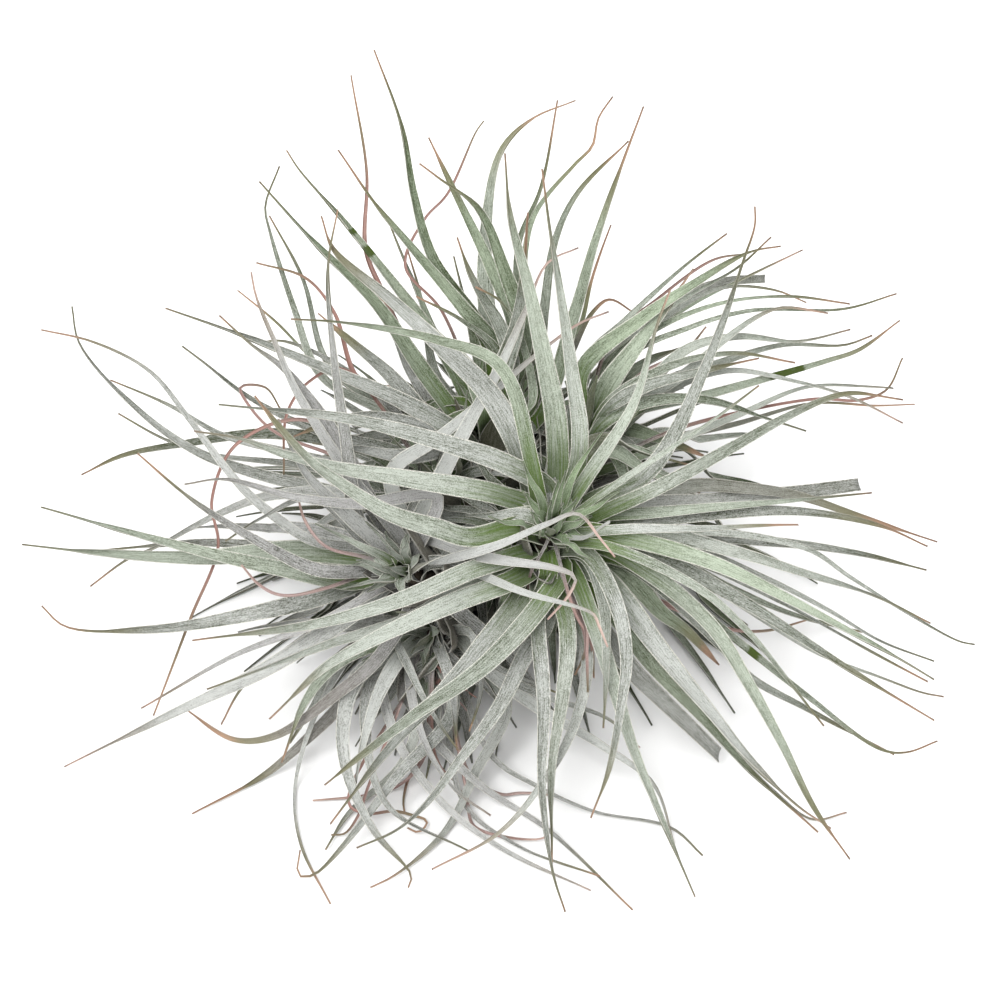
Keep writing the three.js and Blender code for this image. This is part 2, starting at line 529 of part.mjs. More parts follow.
// A leaf's blade: flat above, keeled below. Its upper side faces along its rosette's axis,
// turned towards the viewer on a listed leaf, and twists a little towards the tip.
function bladeOf(leaf, index) {
  const line = leaf.places.map(inFrame);
  const turn = leaf.listed ? LISTED_TURN : FREE_TURN;
  const facing = directionInFrame(leaf.rosette.axis.clone().addScaledVector(VIEWER, turn));
  const thick = "db".includes(leaf.kind) ? DRY_THICK : BLADE_THICK;
  const rings = line.map((place, i) => {
    const along = line[Math.min(i + 1, line.length - 1)].clone()
      .sub(line[Math.max(i - 1, 0)]).normalize();
    const above = facing.clone().addScaledVector(along, -facing.dot(along)).normalize();
    above.applyAxisAngle(along, TWIST * leaf.shares[i] * Math.sin(index * GOLDEN_TURN));
    const across = above.clone().cross(along);
    const width = widthAt(leaf, leaf.shares[i]);
    const deep = thick * mix(1, TIP_THICK_SHARE, leaf.shares[i]);
    return [
      place.clone().addScaledVector(across, -width / 2).addScaledVector(above, deep / 3),
      place.clone().addScaledVector(above, (-deep * 2) / 3),
      place.clone().addScaledVector(across, width / 2).addScaledVector(above, deep / 3),
    ];
  });
  if (leaf.kind !== "c") rings[rings.length - 1] = [line.at(-1)];
  return loft(rings);
}

function directionInFrame(direction) {
  return inFrame(direction).sub(inFrame(new THREE.Vector3())).normalize();
}

// A round solid along a line in the clump's frame, with a few sides.
function round(from, to, profile) {
  const along = to.clone().sub(from).normalize();
  const side = new THREE.Vector3(1, 0, 0).cross(along).normalize();
  const rings = profile.map(([share, radius]) =>
    Array.from({ length: STEM_SIDES }, (_, i) => {
      const spoke = side.clone().applyAxisAngle(along, (2 * Math.PI * i) / STEM_SIDES);
      return from.clone().lerp(to, share).addScaledVector(spoke, radius);
    }));
  return loft(rings);
}

// One body: the largest piece, with any hollow that fusing sealed filled in.
function oneBody(fused) {
  return fused.decompose().sort((a, b) => b.volume() - a.volume())[0];
}

function meshOf(name, body, color, roughness) {
  const { vertProperties, triVerts } = body.getMesh();
  const geometry = new THREE.BufferGeometry()
    .setAttribute("position", new THREE.BufferAttribute(vertProperties, 3))
    .setIndex(new THREE.BufferAttribute(triVerts, 1));
  const material = new THREE.MeshStandardMaterial({ color, roughness, metalness: 0 });
  const mesh = new THREE.Mesh(geometry, material);
  mesh.name = name;
  return mesh;
}

// A rosette: its leaves fused to its stem.
function rosetteMesh(rosette) {
  const stem = round(placeOnStem(rosette, JOINT_GAP), inFrame(rosette.heart), STEM_PROFILE);
  const blades = rosette.leaves.map(bladeOf);
  const body = blades.reduce((fused, blade) => fused.add(blade), stem);
  return meshOf(rosette.name, oneBody(body), LEAF_COLOR, LEAF_ROUGHNESS);
}

// The base: a low knot with a flat spot below and a short branch to each rosette's stem.
function baseMesh() {
  const ring = ([radius, height]) => Array.from({ length: BASE_SIDES }, (_, i) => {
    const angle = (2 * Math.PI * i) / BASE_SIDES;
    return new THREE.Vector3(Math.cos(angle) * radius, Math.sin(angle) * radius, height);
  });
  const branches = ROSETTES.map((rosette) =>
    round(inFrame(CROWN), placeOnStem(rosette, 0), BRANCH_PROFILE));
  const body = branches.reduce((fused, branch) => fused.add(branch), loft(BASE_PROFILE.map(ring)));
  return meshOf("woody_base", oneBody(body), BASE_COLOR, BASE_ROUGHNESS);
}

// The place where a rosette's stem starts, or a little further out.
function placeOnStem(rosette, further) {
  const away = directionInFrame(rosette.axis);
  return inFrame(CROWN).addScaledVector(away, BRANCH_LENGTH + further);
}

// The base and the stems are strands too, which the leaves are bent clear of.
function fixedStrands() {
  const onAxis = (height) => SKY.clone().multiplyScalar(height - PLANE_HEIGHT);
  const base = {
    places: [onAxis(0), onAxis(CROWN_HEIGHT)],
    girths: [BASE_PROFILE[1][0] + BASE_MARGIN, BASE_PROFILE[2][0] + STEM_MARGIN],
  };
  const stems = ROSETTES.map((rosette) => ({
    rosette,
    places: [CROWN.clone(), rosette.heart.clone().addScaledVector(rosette.axis, -YOUNGEST_ROOT)],
    girths: [BRANCH_RADIUS + STEM_MARGIN, STEM_RADIUS + STEM_MARGIN],
  }));
  return [base, ...stems].map((strand) => ({ ...strand, fixed: true }));
}

for (const rosette of ROSETTES) {
  rosette.heart = new THREE.Vector3(...rosette.heart);
  rosette.axis = rosette.heart.clone().sub(CROWN).normalize();
  rosette.stemLength = rosette.heart.distanceTo(CROWN) - BRANCH_LENGTH;
  rosette.leaves = growLeaves(rosette);
}
layClear([...ROSETTES.flatMap((rosette) => rosette.leaves), ...fixedStrands()]);

const clump = new THREE.Group();
clump.add(...ROSETTES.map(rosetteMesh), baseMesh());

export default clump;
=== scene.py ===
import math
from math import radians

import bmesh
import bpy
import numpy as np
from mathutils import Matrix, Vector, noise
from numpy.linalg import norm


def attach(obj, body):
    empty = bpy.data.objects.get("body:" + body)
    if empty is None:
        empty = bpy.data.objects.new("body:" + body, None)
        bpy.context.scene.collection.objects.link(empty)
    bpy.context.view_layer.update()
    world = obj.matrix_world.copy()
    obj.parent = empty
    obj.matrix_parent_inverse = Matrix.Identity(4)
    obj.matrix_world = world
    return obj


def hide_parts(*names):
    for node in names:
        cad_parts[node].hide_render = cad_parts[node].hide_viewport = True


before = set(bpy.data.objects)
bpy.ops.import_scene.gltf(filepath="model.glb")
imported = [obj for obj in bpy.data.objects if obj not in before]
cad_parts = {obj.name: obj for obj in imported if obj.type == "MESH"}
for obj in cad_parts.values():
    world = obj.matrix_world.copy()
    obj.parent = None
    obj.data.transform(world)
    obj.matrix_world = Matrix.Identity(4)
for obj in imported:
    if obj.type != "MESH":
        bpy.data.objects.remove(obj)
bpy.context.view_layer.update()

# The viewer and the plane.
LOOK_DOWN = radians(50)
VIEW_DISTANCE = 1500.0
PLANE_HEIGHT = 70.0
METRES = 0.001

# The leaves' lines, as the frame's blades have them.
LENGTH_PER_SEEN = 1.3
LENGTH_SPARE = 15.0
LIFT_AT_ROOT = 0.55
DROOP_AT_TIP = 0.35
TWIST = radians(24)
GOLDEN_TURN = radians(137.508)
LISTED_TURN = 1.2
FREE_TURN = 0.3
FLOOR_CLEARANCE = 2.0
YOUNG = {"width": 3.5, "tilt": 10, "tilt_step": 4, "length": (0.14, 0.28)}
FILLER = {"width": 5, "sag": 0.3, "step": 5, "shortest": 0.5, "first_turn": 0.3, "next_turn": 0.618,
          "olive_each": 4}
EARLY_BEND = 0.35
LONG_RINGS, SHORT_RINGS, FREE_RINGS = 8, 5, 4
TIP_WIDTH = 0.9
CUT_WIDTH_SHARE = 0.72
ROOT_WIDTH_SHARE = 0.4
ROOT_LENGTH_SHARE = 0.12
TAPER_FULLNESS = 1.15
TAPER_POWER = 0.75

# The base and the stems.
BASE_PROFILE = [(12, 0), (14, 4), (12.5, 12), (9, 19), (4, 23)]
CROWN_HEIGHT = 15.0
BRANCH_LENGTH = 27.0
BRANCH_RADIUS = 4.2
STEM_RADIUS = 7.5
STEM_PROFILE = [(0, BRANCH_RADIUS), (0.35, STEM_RADIUS), (0.75, 6), (0.95, 2.5)]
YOUNGEST_ROOT = 4.0
ROOT_ZONE = 32.0
ROOT_OFFSET = 2.5
BASE_MARGIN = 2.0
STEM_MARGIN = 1.0

# How the leaves are laid clear of one another.
ROUNDS, SMOOTH_ROUNDS = 120, 70
GIRTH, GIRTH_PER_WIDTH = 0.85, 0.3
PAIR_REACH = np.array([6, 6, 22])
MOST_MOVE = 3.0
SMOOTHING = 0.3

# Each line is one leaf: its kind, its width, how far it leans towards the viewer (1) or away
# (-1), and the places right,up that it passes, from its root to its tip. The kinds are g green,
# s silver, n silver and narrow, o olive, d dead and rolled, b dead and broad, c cut off square.
FRONT = """
g 6.5 -0.1 18,3 18,25 15,42 9,68 3,90 1.5,111
s 5 0.12 24,8 25.5,22 23,40 20,60 16,85 13.5,106
s 7 0 8,12 -3,33 -20,50 -35,64 -53,80 -57,91
g 4.5 0.45 10,12 0,43 -20,51.5 -50,57 -67,58
s 4 0.2 25,3 41,28 50,55 55,67
s 5 -0.1 30,0 47,9 66,42 78,78 81,88 81,94
n 6.5 0.15 35,-3 55,6 75,17 92,27 105,33 113,34.5 129,32
s 2 0.3 30,0 55,17 70,27 83,36.5
s 6 0.3 16,2 3,11 -20,18.5 -50,26 -72,29 -90,31
s 6 0.22 14,-5 0,1.5 -30,6.5 -50,10 -68,15 -83,20 -98,22
s 6 0.42 6,-9 -10,-12 -20,-9 -35,-4 -50,5 -60,12 -70,22 -79,33
c 6 -0.62 35,-3 70,-0.5 95,2 115,5
b 4.5 -0.85 45,0 62,4.5 75,4 95,1.5 115,-5 140,-13.5
g 3.5 -0.25 28,-6 50,-4 80,-1.5 119,2.5
s 4.5 -0.4 35,-8 70,-4.5 98,-4 122,-8 137,-14.5
s 3 0.05 45,-9 70,-9 95.5,-8
s 4.5 -0.5 50,-10.5 90,-13.5 112,-17 136.5,-22.5
s 2.5 -0.7 60,-10 98,-16 112,-25 130,-36 147,-45 152,-46
s 4.5 -0.12 50,-11 75,-17 95,-23 120,-30.5 138,-39
s 2.5 -0.45 55,-14 85,-25 105,-35 122,-45 139,-51.5
g 5 0.1 25,-10 50,-14.5 70,-21 92,-31.5 112,-42 130,-52 139,-57.5
s 1.8 -0.05 28,-12 60,-19 90,-33 116,-47 137,-58
s 2.2 -0.6 55,-22 103,-49 120,-56 135,-62 142,-63.5
s 5 -0.22 28,-11 50,-18 80,-34 110,-53 139,-70.5
o 4 -0.85 50,-18 75,-29 95,-37 116,-42
s 3 0.22 35,-15 64,-29 80,-43 92,-57 104,-72
s 4 -0.45 40,-20 70,-45 80,-56 97,-66 112,-74.5 126,-82
s 3 -0.62 45,-22 75,-44 98,-62 122,-79.5 130,-80.5 140,-77
d 3 -0.85 55,-34 72,-41 85,-42 99,-38.5
g 5 0.1 30,-14 50,-25 68,-41 80,-60 90,-78 100,-98 112,-115
s 6.5 -0.2 33,-25 50,-46 65,-65 80,-84 95,-98 106,-105
o 5 -0.38 35,-35 48,-52 65,-70 80,-87 101.5,-106.5
s 1.8 -0.48 62,-66 88,-93 100,-102 111,-100
c 7.5 -0.36 42,-54 50,-62 60,-72 70,-82
o 7 -0.55 38,-22 52,-36 60,-42 70,-53
s 5 -0.05 22,-22 30,-40 36,-58 42,-77 50,-97 62.5,-127
s 4.5 0.18 26,-16 32,-22 38,-36 40,-50 38.5,-65 35,-87 29.5,-102
s 4 0.1 27,-18 33,-32 34,-52 33,-73
s 6 0.12 20,-22 14,-32 -5,-53 -28,-70 -56,-91.5
s 6 -0.08 10,-25 -6,-47 -22,-65 -32,-76 -54,-104
s 5 -0.14 15,-38 8,-50 0,-66 -12,-82 -24,-97 -33,-105 -46,-111
s 4.5 0.02 12,-40 14,-65 14,-95 17,-120 20.5,-132
o 5 -0.03 21,-38 20,-62 17,-88 16,-117
s 3.5 -0.1 26,-42 28,-52 24,-72 14,-90 0,-106 -22,-118
d 3 -0.2 27,-38 28,-50 28,-63
s 5.5 0.14 15,-15 -8,-22 -30,-31 -60,-40 -98.5,-45
s 5 0.05 14,-18 -12,-29 -28,-38 -55,-46 -94,-60
s 6 0.12 10,-22 -15,-33 -45,-47 -57,-54 -74,-70
"""
LEFT = """
s 5 -0.1 -28,-15 -20,5 -10,24 0,42 8,60 15,76 25,81
s 4.5 -0.25 -35,8 -20,20 -3,34 10,45 25,56 35,60
s 3 0.85 -29,-23 0,-14.5 15,-8 25,-4.5 32,-12 37,-18
s 4 0.72 -25,-13 -5,-18 18,-22 24,-25 22,-30 15,-38
s 2.5 0.85 -12,-22.5 8,-30 30,-36 32,-40 34.5,-47
g 6.5 -0.5 -35,-20 -65,-16.5 -95,-18.5 -125,-17 -153,-14
g 5 -0.15 -35,-22 -46,-26.5 -70,-22 -100,-15 -125,-9 -147,-2.5
s 4 0.2 -35,-22 -58,-22.5 -78,-13 -98,0 -116,15
s 5.5 -0.3 -33,-23 -60,-32 -85,-37.5 -112,-41 -139,-40 -146.5,-33.5
o 4 -0.62 -45,0 -72,2 -90,-4 -110,-15 -119,-19 -131,-28
o 4.5 -0.8 -40,-18 -75,-15 -95,-13.5 -132,-16
s 5.5 -0.2 -32,-24 -48,-37 -75,-54 -100,-66 -139.5,-85.5
s 2.5 -0.05 -35,-27 -57,-39 -85,-49.5 -115,-66.5
s 1.8 -0.35 -45,-32 -65,-45 -82,-60 -89,-72
s 4.5 0.18 -36,-19 -45,-8 -49,18 -53.5,50 -55,75 -52,93
n 6 0.05 -25,-22 -38,-4 -46,5 -54,17 -66,36 -72,50 -78,65 -79.5,73
s 5 -0.1 -42,0 -52,20 -68,41 -80,50 -90,59
s 3 0.1 -36,-17 -60,-13 -72,-5 -82,4 -100,27 -112,41 -130,50 -147,54
s 3 0.25 -45,-12 -60,1 -78,-6 -88,-13
d 1.8 -0.3 -60,25 -84,18 -92,0 -90,-15 -99,-38 -111,-69
d 1.8 0.1 -42,-24 -55,-28 -70,-30 -77,-27 -83,-21
d 1.8 0.25 -45,-18 -56,-14 -63,-6 -65,0
b 4 -0.4 -40,-52 -52,-62 -72,-75 -85,-76 -101,-66
s 5 0.4 -34,-17 -52,-2 -63,10 -71,26
s 4 0.3 -20,1 -45,-1.5 -65,1 -88,7 -101,5
"""
LOW = """
s 4.5 0.15 -20,-35 -5,-53 12,-66 32,-78 49,-91 55.5,-110
s 2.5 0.15 -15,-42 -2,-53 8,-58 20,-62.5
s 3 0.05 -6,-52 14,-63 35,-70 45,-79
s 3 0.3 -33,-42 -28,-57 -17,-74 -13,-80
s 3 -0.02 -37,-52 -34,-74 -20,-95 0,-111 29,-125
s 3 0 -33,-52 -26,-70 -8,-90 16,-106 42.5,-131
s 4.8 0.2 -45,-56 -50.5,-72 -49,-88 -40,-106 -28,-120 -29,-124
s 4 0.05 -40,-56 -43,-72 -36,-97 -10,-112
s 2 0 -45,-48 -57,-65 -66,-92 -64,-110 -54,-129
o 4 -0.05 2,-64 -8,-88 -18,-106 -34,-120 -41.5,-124
s 4 0.02 -15,-67 -33,-88 -50,-110 -60,-120 -64.5,-120 -64,-112
o 4 -0.1 -30,-82 -48,-100 -55.5,-112
s 3.5 0.25 -20,-45 -15,-60 -14,-80
s 3 0.32 -10,-42 -6,-58 -10,-74
o 5 -0.15 -22,-50 -20,-70 -24,-90
s 4.5 0.2 -30,-48 -38,-60 -44,-80 -47,-96
s 3 0.1 -28,-50 -26,-72 -15,-92 -3,-101
g 5 0.1 -38,-45 -52,-52 -62,-64 -70,-84
s 1.8 -0.05 -3,-81 11,-91 30,-100 55,-105 65,-113.5
s 2.2 -0.03 -12,-96 5,-110 32,-120.5
s 4.5 -0.12 -50,-50 -60,-66 -67,-78
b 4.5 -0.3 -40,-55 -60,-75 -75,-88 -98.5,-100.5
"""
UPPER_LEFT = """
s 5.5 0.15 -8,15 -30,31 -53,41 -73,48.5 -90,55 -107,61.5
s 4.5 -0.05 -40,0 -60,4 -80,9 -98,16 -117,30 -134.5,50 -137,62
s 3 -0.2 -40,8 -70,16 -88,21 -105,30 -125,38
o 3 -0.45 -60,10 -95,15 -108,20 -122,28
o 4.5 -0.55 -40,15 -60,20 -78,21 -100,18 -121,14 -134,8
s 3.5 -0.15 -30,14 -57,22 -80,33 -95,44 -102,49
s 3 -0.35 -35,30 -57,46 -70,51 -77,50.5
d 1.8 -0.1 -55,15 -72,22 -80,30 -83,36 -75,36 -70,29
d 1.8 0.1 -50,42 -61,38 -68,28 -69,8
o 6.5 -0.3 -24,18 -42,20 -58,13
s 6.5 0.1 -22,20 -38,26 -52,25 -66,20
o 6 -0.6 -24,14 -45,10 -68,8 -84,10
s 6 0.45 -18,16 -30,14 -45,16 -60,18
s 6 0 -22,22 -34,38 -47,50 -58,60
"""
TOP = """
s 4.5 -0.05 -3,48 -22,78 -28,98 -32,120 -40.5,144
s 5 0.05 0,46 -12,62 -28,80 -40,94 -52,112
o 5 -0.2 -15,42 -35,71 -50,90 -64,106 -68,112
s 5.5 0.1 -24,40 -40,63 -58,81 -77,102
s 3.5 -0.25 -40,30 -57,40 -66,62 -74,86 -75.5,94 -71,107
s 3 -0.45 -38,30 -55,44 -63,70 -74,91
d 3 -0.35 -20,36 -30,50 -38,67 -43,80 -42.5,105 -47.5,136
d 3 -0.1 -30,34 -45,38 -53,60 -62,71 -78,76
s 4 -0.55 -12,36 -20,50 -30,75 -36,91
s 4 -0.75 -14,30 -21,40 -25,65 -29,80
s 3 0.25 0,46 -12,57 -27,65
d 1.6 -0.65 -18,60 -30,75 -24,90 -17,98 -8,118 -5.5,121.5
s 5 0.1 5,52 -3,75 -15,100 -23,116
g 6 0.22 8,50 1,75 -7,93 -20,103 -26,107.5
s 5.5 -0.1 -1,45 -4,60 -4.5,80 0,111 10,122 24,128
o 3 -0.5 6,50 6,82 13,100 18.5,128
s 2.5 -0.35 6,60 10,90 24,107 30,113 32,122 36.5,129
s 3.5 -0.2 10,30 14,60 18,83 25,98 41,115
g 4.5 -0.02 12,25 24,60 30,82 38,105 46,126
o 2.5 -0.6 14,30 25,55 29,70 36,88
b 3 -0.3 14,34 22,45 30,60 35,64 43,60
s 3 0.35 10,30 7,50 0,63 -8,68
s 5.5 0.3 4,40 0,55 -9,72 -14,84
o 5 -0.8 -6,40 -10,60 -15,78
s 6 0.42 0,38 5,55 8,75 9,92
s 6 0.15 -8,38 -20,52 -30,60 -41,66
o 2.5 -0.5 -40,30 -60,45 -72,57 -84,67
"""
RIGHT = """
s 2.5 -0.2 27,44 40,58 56,72 73,85
g 5 -0.05 26,41 45,58 62,69 80,79 90,81
d 1.8 -0.35 35,50 50,64 68,77 79,79
s 2.5 -0.4 32,41 60,62 78,71 97,80
s 3 -0.55 40,50 60,65 76,74 87,84
c 4 -0.6 35,46 50,60 70,69 85,70.5
s 3 -0.3 40,46 58,62 72,68 88,67 98,63
s 2.5 -0.12 36,44 50,55 70,63 92,65 112,62.5
s 2 0 40,45 60,55 80,60.5 110,61 127,66
s 4 0.1 36,28 55,38 70,50 82,58 90,61 105,59.5
s 4 0.02 38,30 48,38 60,48 76,52 95,51 112,55
s 3.5 -0.15 50,36 70,44 90,50 110,50 119,53
d 2.5 -0.05 45,40 59,48 66,55.5
g 3.5 -0.35 35,25 68,34 88,39.5 105,44.5 115,48 128,57.5
s 3.5 0.2 34,30 55,43 75,47 94.5,44
s 4.5 0.32 33,28 45,36 65,41 83,45
s 4.5 0.1 32,24 45,31 65,32 85,26 98,22
s 3 -0.5 40,12 75,27 98,36 118,36 126,35.5
b 2.5 -0.75 50,18 75,24 100,31 120,30.5 132.5,31
d 1.8 -0.65 60,24 100,32 115,31.5 124,35 129,45.5
s 2.5 -0.3 50,32 72,41 95,38 113,33 129,25
s 5.5 0.35 30,18 38,18.5 50,14 60,11
o 6.5 -0.4 36,22 50,20 66,14
o 6.5 -0.6 34,34 46,44 62,50
s 6 0.15 34,16 48,9 64,2
s 6.5 -0.05 34,36 44,50 54,62 62,74
"""

# For each rosette: its heart, the place right,up,near where its youngest leaves open, the length
# and lines of its leaves, how many are young, and then its filler leaves: how many, how long, from
# which angle to which they turn round the heart, and between which values they lean.
ROSETTES = [
    ("front", (18, -7, 25), 150, FRONT, 9, (8, 105, (170, 395), (-0.9, -0.55))),
    ("left", (-33, -21, 12), 140, LEFT, 6, (11, 105, (110, 300), (-0.95, -0.45))),
    ("low", (-26, -42, -8), 105, LOW, 4, (8, 70, (170, 320), (-0.5, 0.3))),
    ("upper_left", (-20, 12, -14), 130, UPPER_LEFT, 5, (10, 100, (75, 205), (-0.95, -0.5))),
    ("top", (-2, 30, -24), 130, TOP, 5, (13, 115, (30, 160), (-0.97, -0.65))),
    ("right", (30, 25, -15), 125, RIGHT, 5, (12, 110, (-40, 100), (-0.95, -0.5))),
    ("back", (0, 4.5, -60), 90, "", 5, (32, 84, (-25, 205), (-0.98, 0.15))),
]
SKYLINE = (112, 68)

SIN, COS = math.sin(LOOK_DOWN), math.cos(LOOK_DOWN)
VIEWER = np.array([0.0, 0, 1])
SKY = np.array([0, COS, SIN])
CROWN = SKY * (CROWN_HEIGHT - PLANE_HEIGHT)
random = np.random.default_rng(11)


def mix(a, b, t):
    """a at 0, b at 1, and in step between and beyond."""
    return a + (b - a) * t


def smooth(t, low, high):
    """0 below low, 1 above high, and a smooth step between."""
    t = np.clip((np.asarray(t, float) - low) / (high - low), 0, 1)
    return t * t * (3 - 2 * t)


def unit(v):
    v = np.asarray(v, float)
    return v / np.maximum(norm(v, axis=-1, keepdims=True), 1e-9)


def turned(v, axis, angle):
    """v turned about a unit axis by the right-hand rule."""
    turn, side = math.cos(angle), math.sin(angle)
    return v * turn + np.cross(axis, v) * side + axis * (axis @ v) * (1 - turn)


def in_frame(places):
    """The places in the clump's own frame of places right,up,near."""
    right, up, near = np.moveaxis(np.asarray(places, float), -1, 0)
    shrink = 1 - near / VIEW_DISTANCE
    return np.stack([
        right * shrink,
        up * shrink * SIN - near * COS,
        PLANE_HEIGHT + up * shrink * COS + near * SIN,
    ], -1)


def direction_in_frame(direction):
    return unit(in_frame(direction) - in_frame(np.zeros(3)))


def floor_near(up, clearance):
    """The least near that keeps a place above the surface."""
    return (clearance - PLANE_HEIGHT - up * COS) / SIN


def along_line(points, shares):
    """Places at shares of the length of a smooth line through points."""
    points = np.asarray(points, float)
    knots = np.vstack([2 * points[0] - points[1], points, 2 * points[-1] - points[-2]])
    gaps = np.maximum(norm(np.diff(knots, axis=0), axis=1), 1e-3) ** 0.5

    def at(times):
        spot = times * (len(points) - 1)
        k = np.minimum(spot.astype(int), len(points) - 2)
        t = (spot - k)[:, None]
        p0, p1, p2, p3 = (knots[k + n] for n in range(4))
        d0, d1, d2 = (gaps[k + n][:, None] for n in range(3))
        leave = ((p1 - p0) / d0 - (p2 - p0) / (d0 + d1) + (p2 - p1) / d1) * d1
        arrive = ((p2 - p1) / d1 - (p3 - p1) / (d1 + d2) + (p3 - p2) / d2) * d1
        return (p1 + leave * t + (3 * p2 - 3 * p1 - 2 * leave - arrive) * t ** 2
                + (2 * p1 - 2 * p2 + leave + arrive) * t ** 3)

    times = np.linspace(0, 1, 201)
    steps = norm(np.diff(at(times), axis=0), axis=1)
    lengths = np.concatenate([[0], np.cumsum(steps)])
    return at(np.interp(np.asarray(shares) * lengths[-1], lengths, times))


class Rosette:
    def __init__(self, name, heart, length, lines, young, filler):
        self.name, self.length, self.lines, self.young = name, length, lines, young
        self.fillers, self.filler_length, self.turn, self.lean = filler
        self.heart = np.array(heart, float)
        self.axis = unit(self.heart - CROWN)
        self.stem_length = norm(self.heart - CROWN) - BRANCH_LENGTH
        self.lowest_root = min(ROOT_ZONE, self.stem_length - YOUNGEST_ROOT + 1)


class Leaf:
    """A leaf: grow(root, shares) gives its places. A fixed one stays as it lies."""

    fixed = False

    def __init__(self, rosette, kind, width, direction, grow, rings, listed=False):
        self.rosette, self.kind, self.width, self.listed = rosette, kind, width, listed
        self.direction, self.grow = direction, grow
        self.shares = np.linspace(0, 1, rings + 1)

    def width_at(self, shares):
        """The frame's width: narrow at the root, broad a little above, thin at the tip."""
        root = np.minimum(1, mix(ROOT_WIDTH_SHARE, 1, shares / ROOT_LENGTH_SHARE))
        if self.kind == "c":
            return root * self.width * mix(1, CUT_WIDTH_SHARE, shares)
        taper = np.minimum(1, TAPER_FULLNESS * (1 - shares) ** TAPER_POWER)
        return TIP_WIDTH + root * (self.width - TIP_WIDTH) * taper

    def plant(self, root):
        self.root = root
        self.places = self.grow(root, self.shares)
        self.girths = GIRTH + GIRTH_PER_WIDTH * self.width_at(self.shares)
        self.bends = np.zeros_like(self.places)


def traced_leaf(rosette, line):
    """One leaf of a list. Its length says how far it reaches along the hidden direction."""
    kind, width, lean, *pairs = line.split()
    flat = np.array([[*map(float, pair.split(",")), 0] for pair in pairs])
    seen = flat[-1] - rosette.heart * (1, 1, 0)
    length = min(rosette.length, LENGTH_PER_SEEN * norm(seen) + LENGTH_SPARE)
    reach = float(lean) * math.sqrt(max(0, length ** 2 - seen @ seen))
    direction = unit(seen + (0, 0, reach))
    lift = length * mix(direction[2], rosette.axis[2], LIFT_AT_ROOT)
    landing = length * (direction[2] - DROOP_AT_TIP)

    def grow(root, s):
        places = along_line(np.vstack([root * (1, 1, 0), flat]), s)
        places[:, 2] = ((2 * s ** 3 - 3 * s ** 2 + 1) * root[2] + (s ** 3 - 2 * s ** 2 + s) * lift
                        + (3 * s ** 2 - 2 * s ** 3) * (rosette.heart[2] + reach)
                        + (s ** 3 - s ** 2) * landing)
        return places

    rings = LONG_RINGS if len(flat) > 4 else SHORT_RINGS
    leaf = Leaf(rosette, kind, float(width), direction, grow, rings, listed=True)
    leaf.lean = float(lean)
    return leaf


def free_leaf(rosette, kind, width, length, direction, sag):
    """One leaf of a rule: it leaves the stem, bends towards a direction and sags."""
    def grow(root, s):
        s = s[:, None]
        heading = unit(mix(rosette.axis, direction, np.minimum(1, EARLY_BEND + s)))
        return root + heading * length * s - SKY * sag * length * s ** 2

    return Leaf(rosette, kind, width, direction, grow, FREE_RINGS)


def filler_leaf(rosette, kind, width, share, angle, near):
    """A free leaf at an angle round the heart, kept inside the clump's outline."""
    flat, angle = math.sqrt(1 - near ** 2), radians(angle)
    direction = np.array([math.cos(angle) * flat, math.sin(angle) * flat, near])
    size = full = rosette.filler_length * share
    while size > FILLER["shortest"] * full:
        tip = rosette.heart + direction * size - SKY * FILLER["sag"] * size
        if (tip[0] / SKYLINE[0]) ** 2 + (tip[1] / SKYLINE[1]) ** 2 <= 1:
            break
        size -= FILLER["step"]
    return free_leaf(rosette, kind, width, size, direction, FILLER["sag"])


def filler_leaves(rosette):
    """The frame's leaves by rule, which turn round the heart between those of the list."""
    for i in range(rosette.fillers):
        share = (FILLER["first_turn"] + i * FILLER["next_turn"]) % 1
        lean = mix(*rosette.lean, (i + 0.5) / rosette.fillers)
        kind = "s" if (i + 1) % FILLER["olive_each"] else "o"
        yield filler_leaf(rosette, kind, FILLER["width"], 1, mix(*rosette.turn, share), lean)


def opened(rosette, tilt, i):
    """The direction of a leaf tilted off the axis, each i a golden turn further round."""
    side = unit(np.cross((1, 0, 0), rosette.axis))
    return turned(turned(rosette.axis, side, radians(tilt)), rosette.axis, GOLDEN_TURN * i)


def young_leaves(rosette, first, last, width):
    """Young leaves that open round the heart, each further out and longer than the one before."""
    for i in range(first, last):
        direction = opened(rosette, YOUNG["tilt"] + YOUNG["tilt_step"] * i, i)
        length = rosette.length * mix(*YOUNG["length"], i / rosette.young)
        yield free_leaf(rosette, "g", width, length, direction, 0)


def root_of(leaf, depth, offset):
    """A place on the leaf's own side of the stem, at a depth below the heart."""
    axis = leaf.rosette.axis
    side = unit(leaf.direction - axis * (leaf.direction @ axis))
    return leaf.rosette.heart - axis * depth + side * offset


def grow_leaves(rosette):
    """The frame's leaves: one above another on the stem, the widest spread lowest."""
    leaves = [traced_leaf(rosette, line) for line in rosette.lines.strip().splitlines()]
    leaves += filler_leaves(rosette)
    leaves += young_leaves(rosette, 0, rosette.young, YOUNG["width"])
    leaves.sort(key=lambda leaf: math.acos(np.clip(leaf.direction @ rosette.axis, -1, 1)))
    for i, leaf in enumerate(leaves):
        leaf.index = i
        depth = mix(YOUNGEST_ROOT, rosette.lowest_root, i / len(leaves))
        leaf.plant(root_of(leaf, depth, ROOT_OFFSET))
    return leaves


class Strand:
    """The base or a stem, which the leaves are bent clear of."""

    fixed, listed = True, False

    def __init__(self, rosette, places, girths):
        self.rosette, self.places, self.girths = rosette, np.array(places), np.array(girths, float)


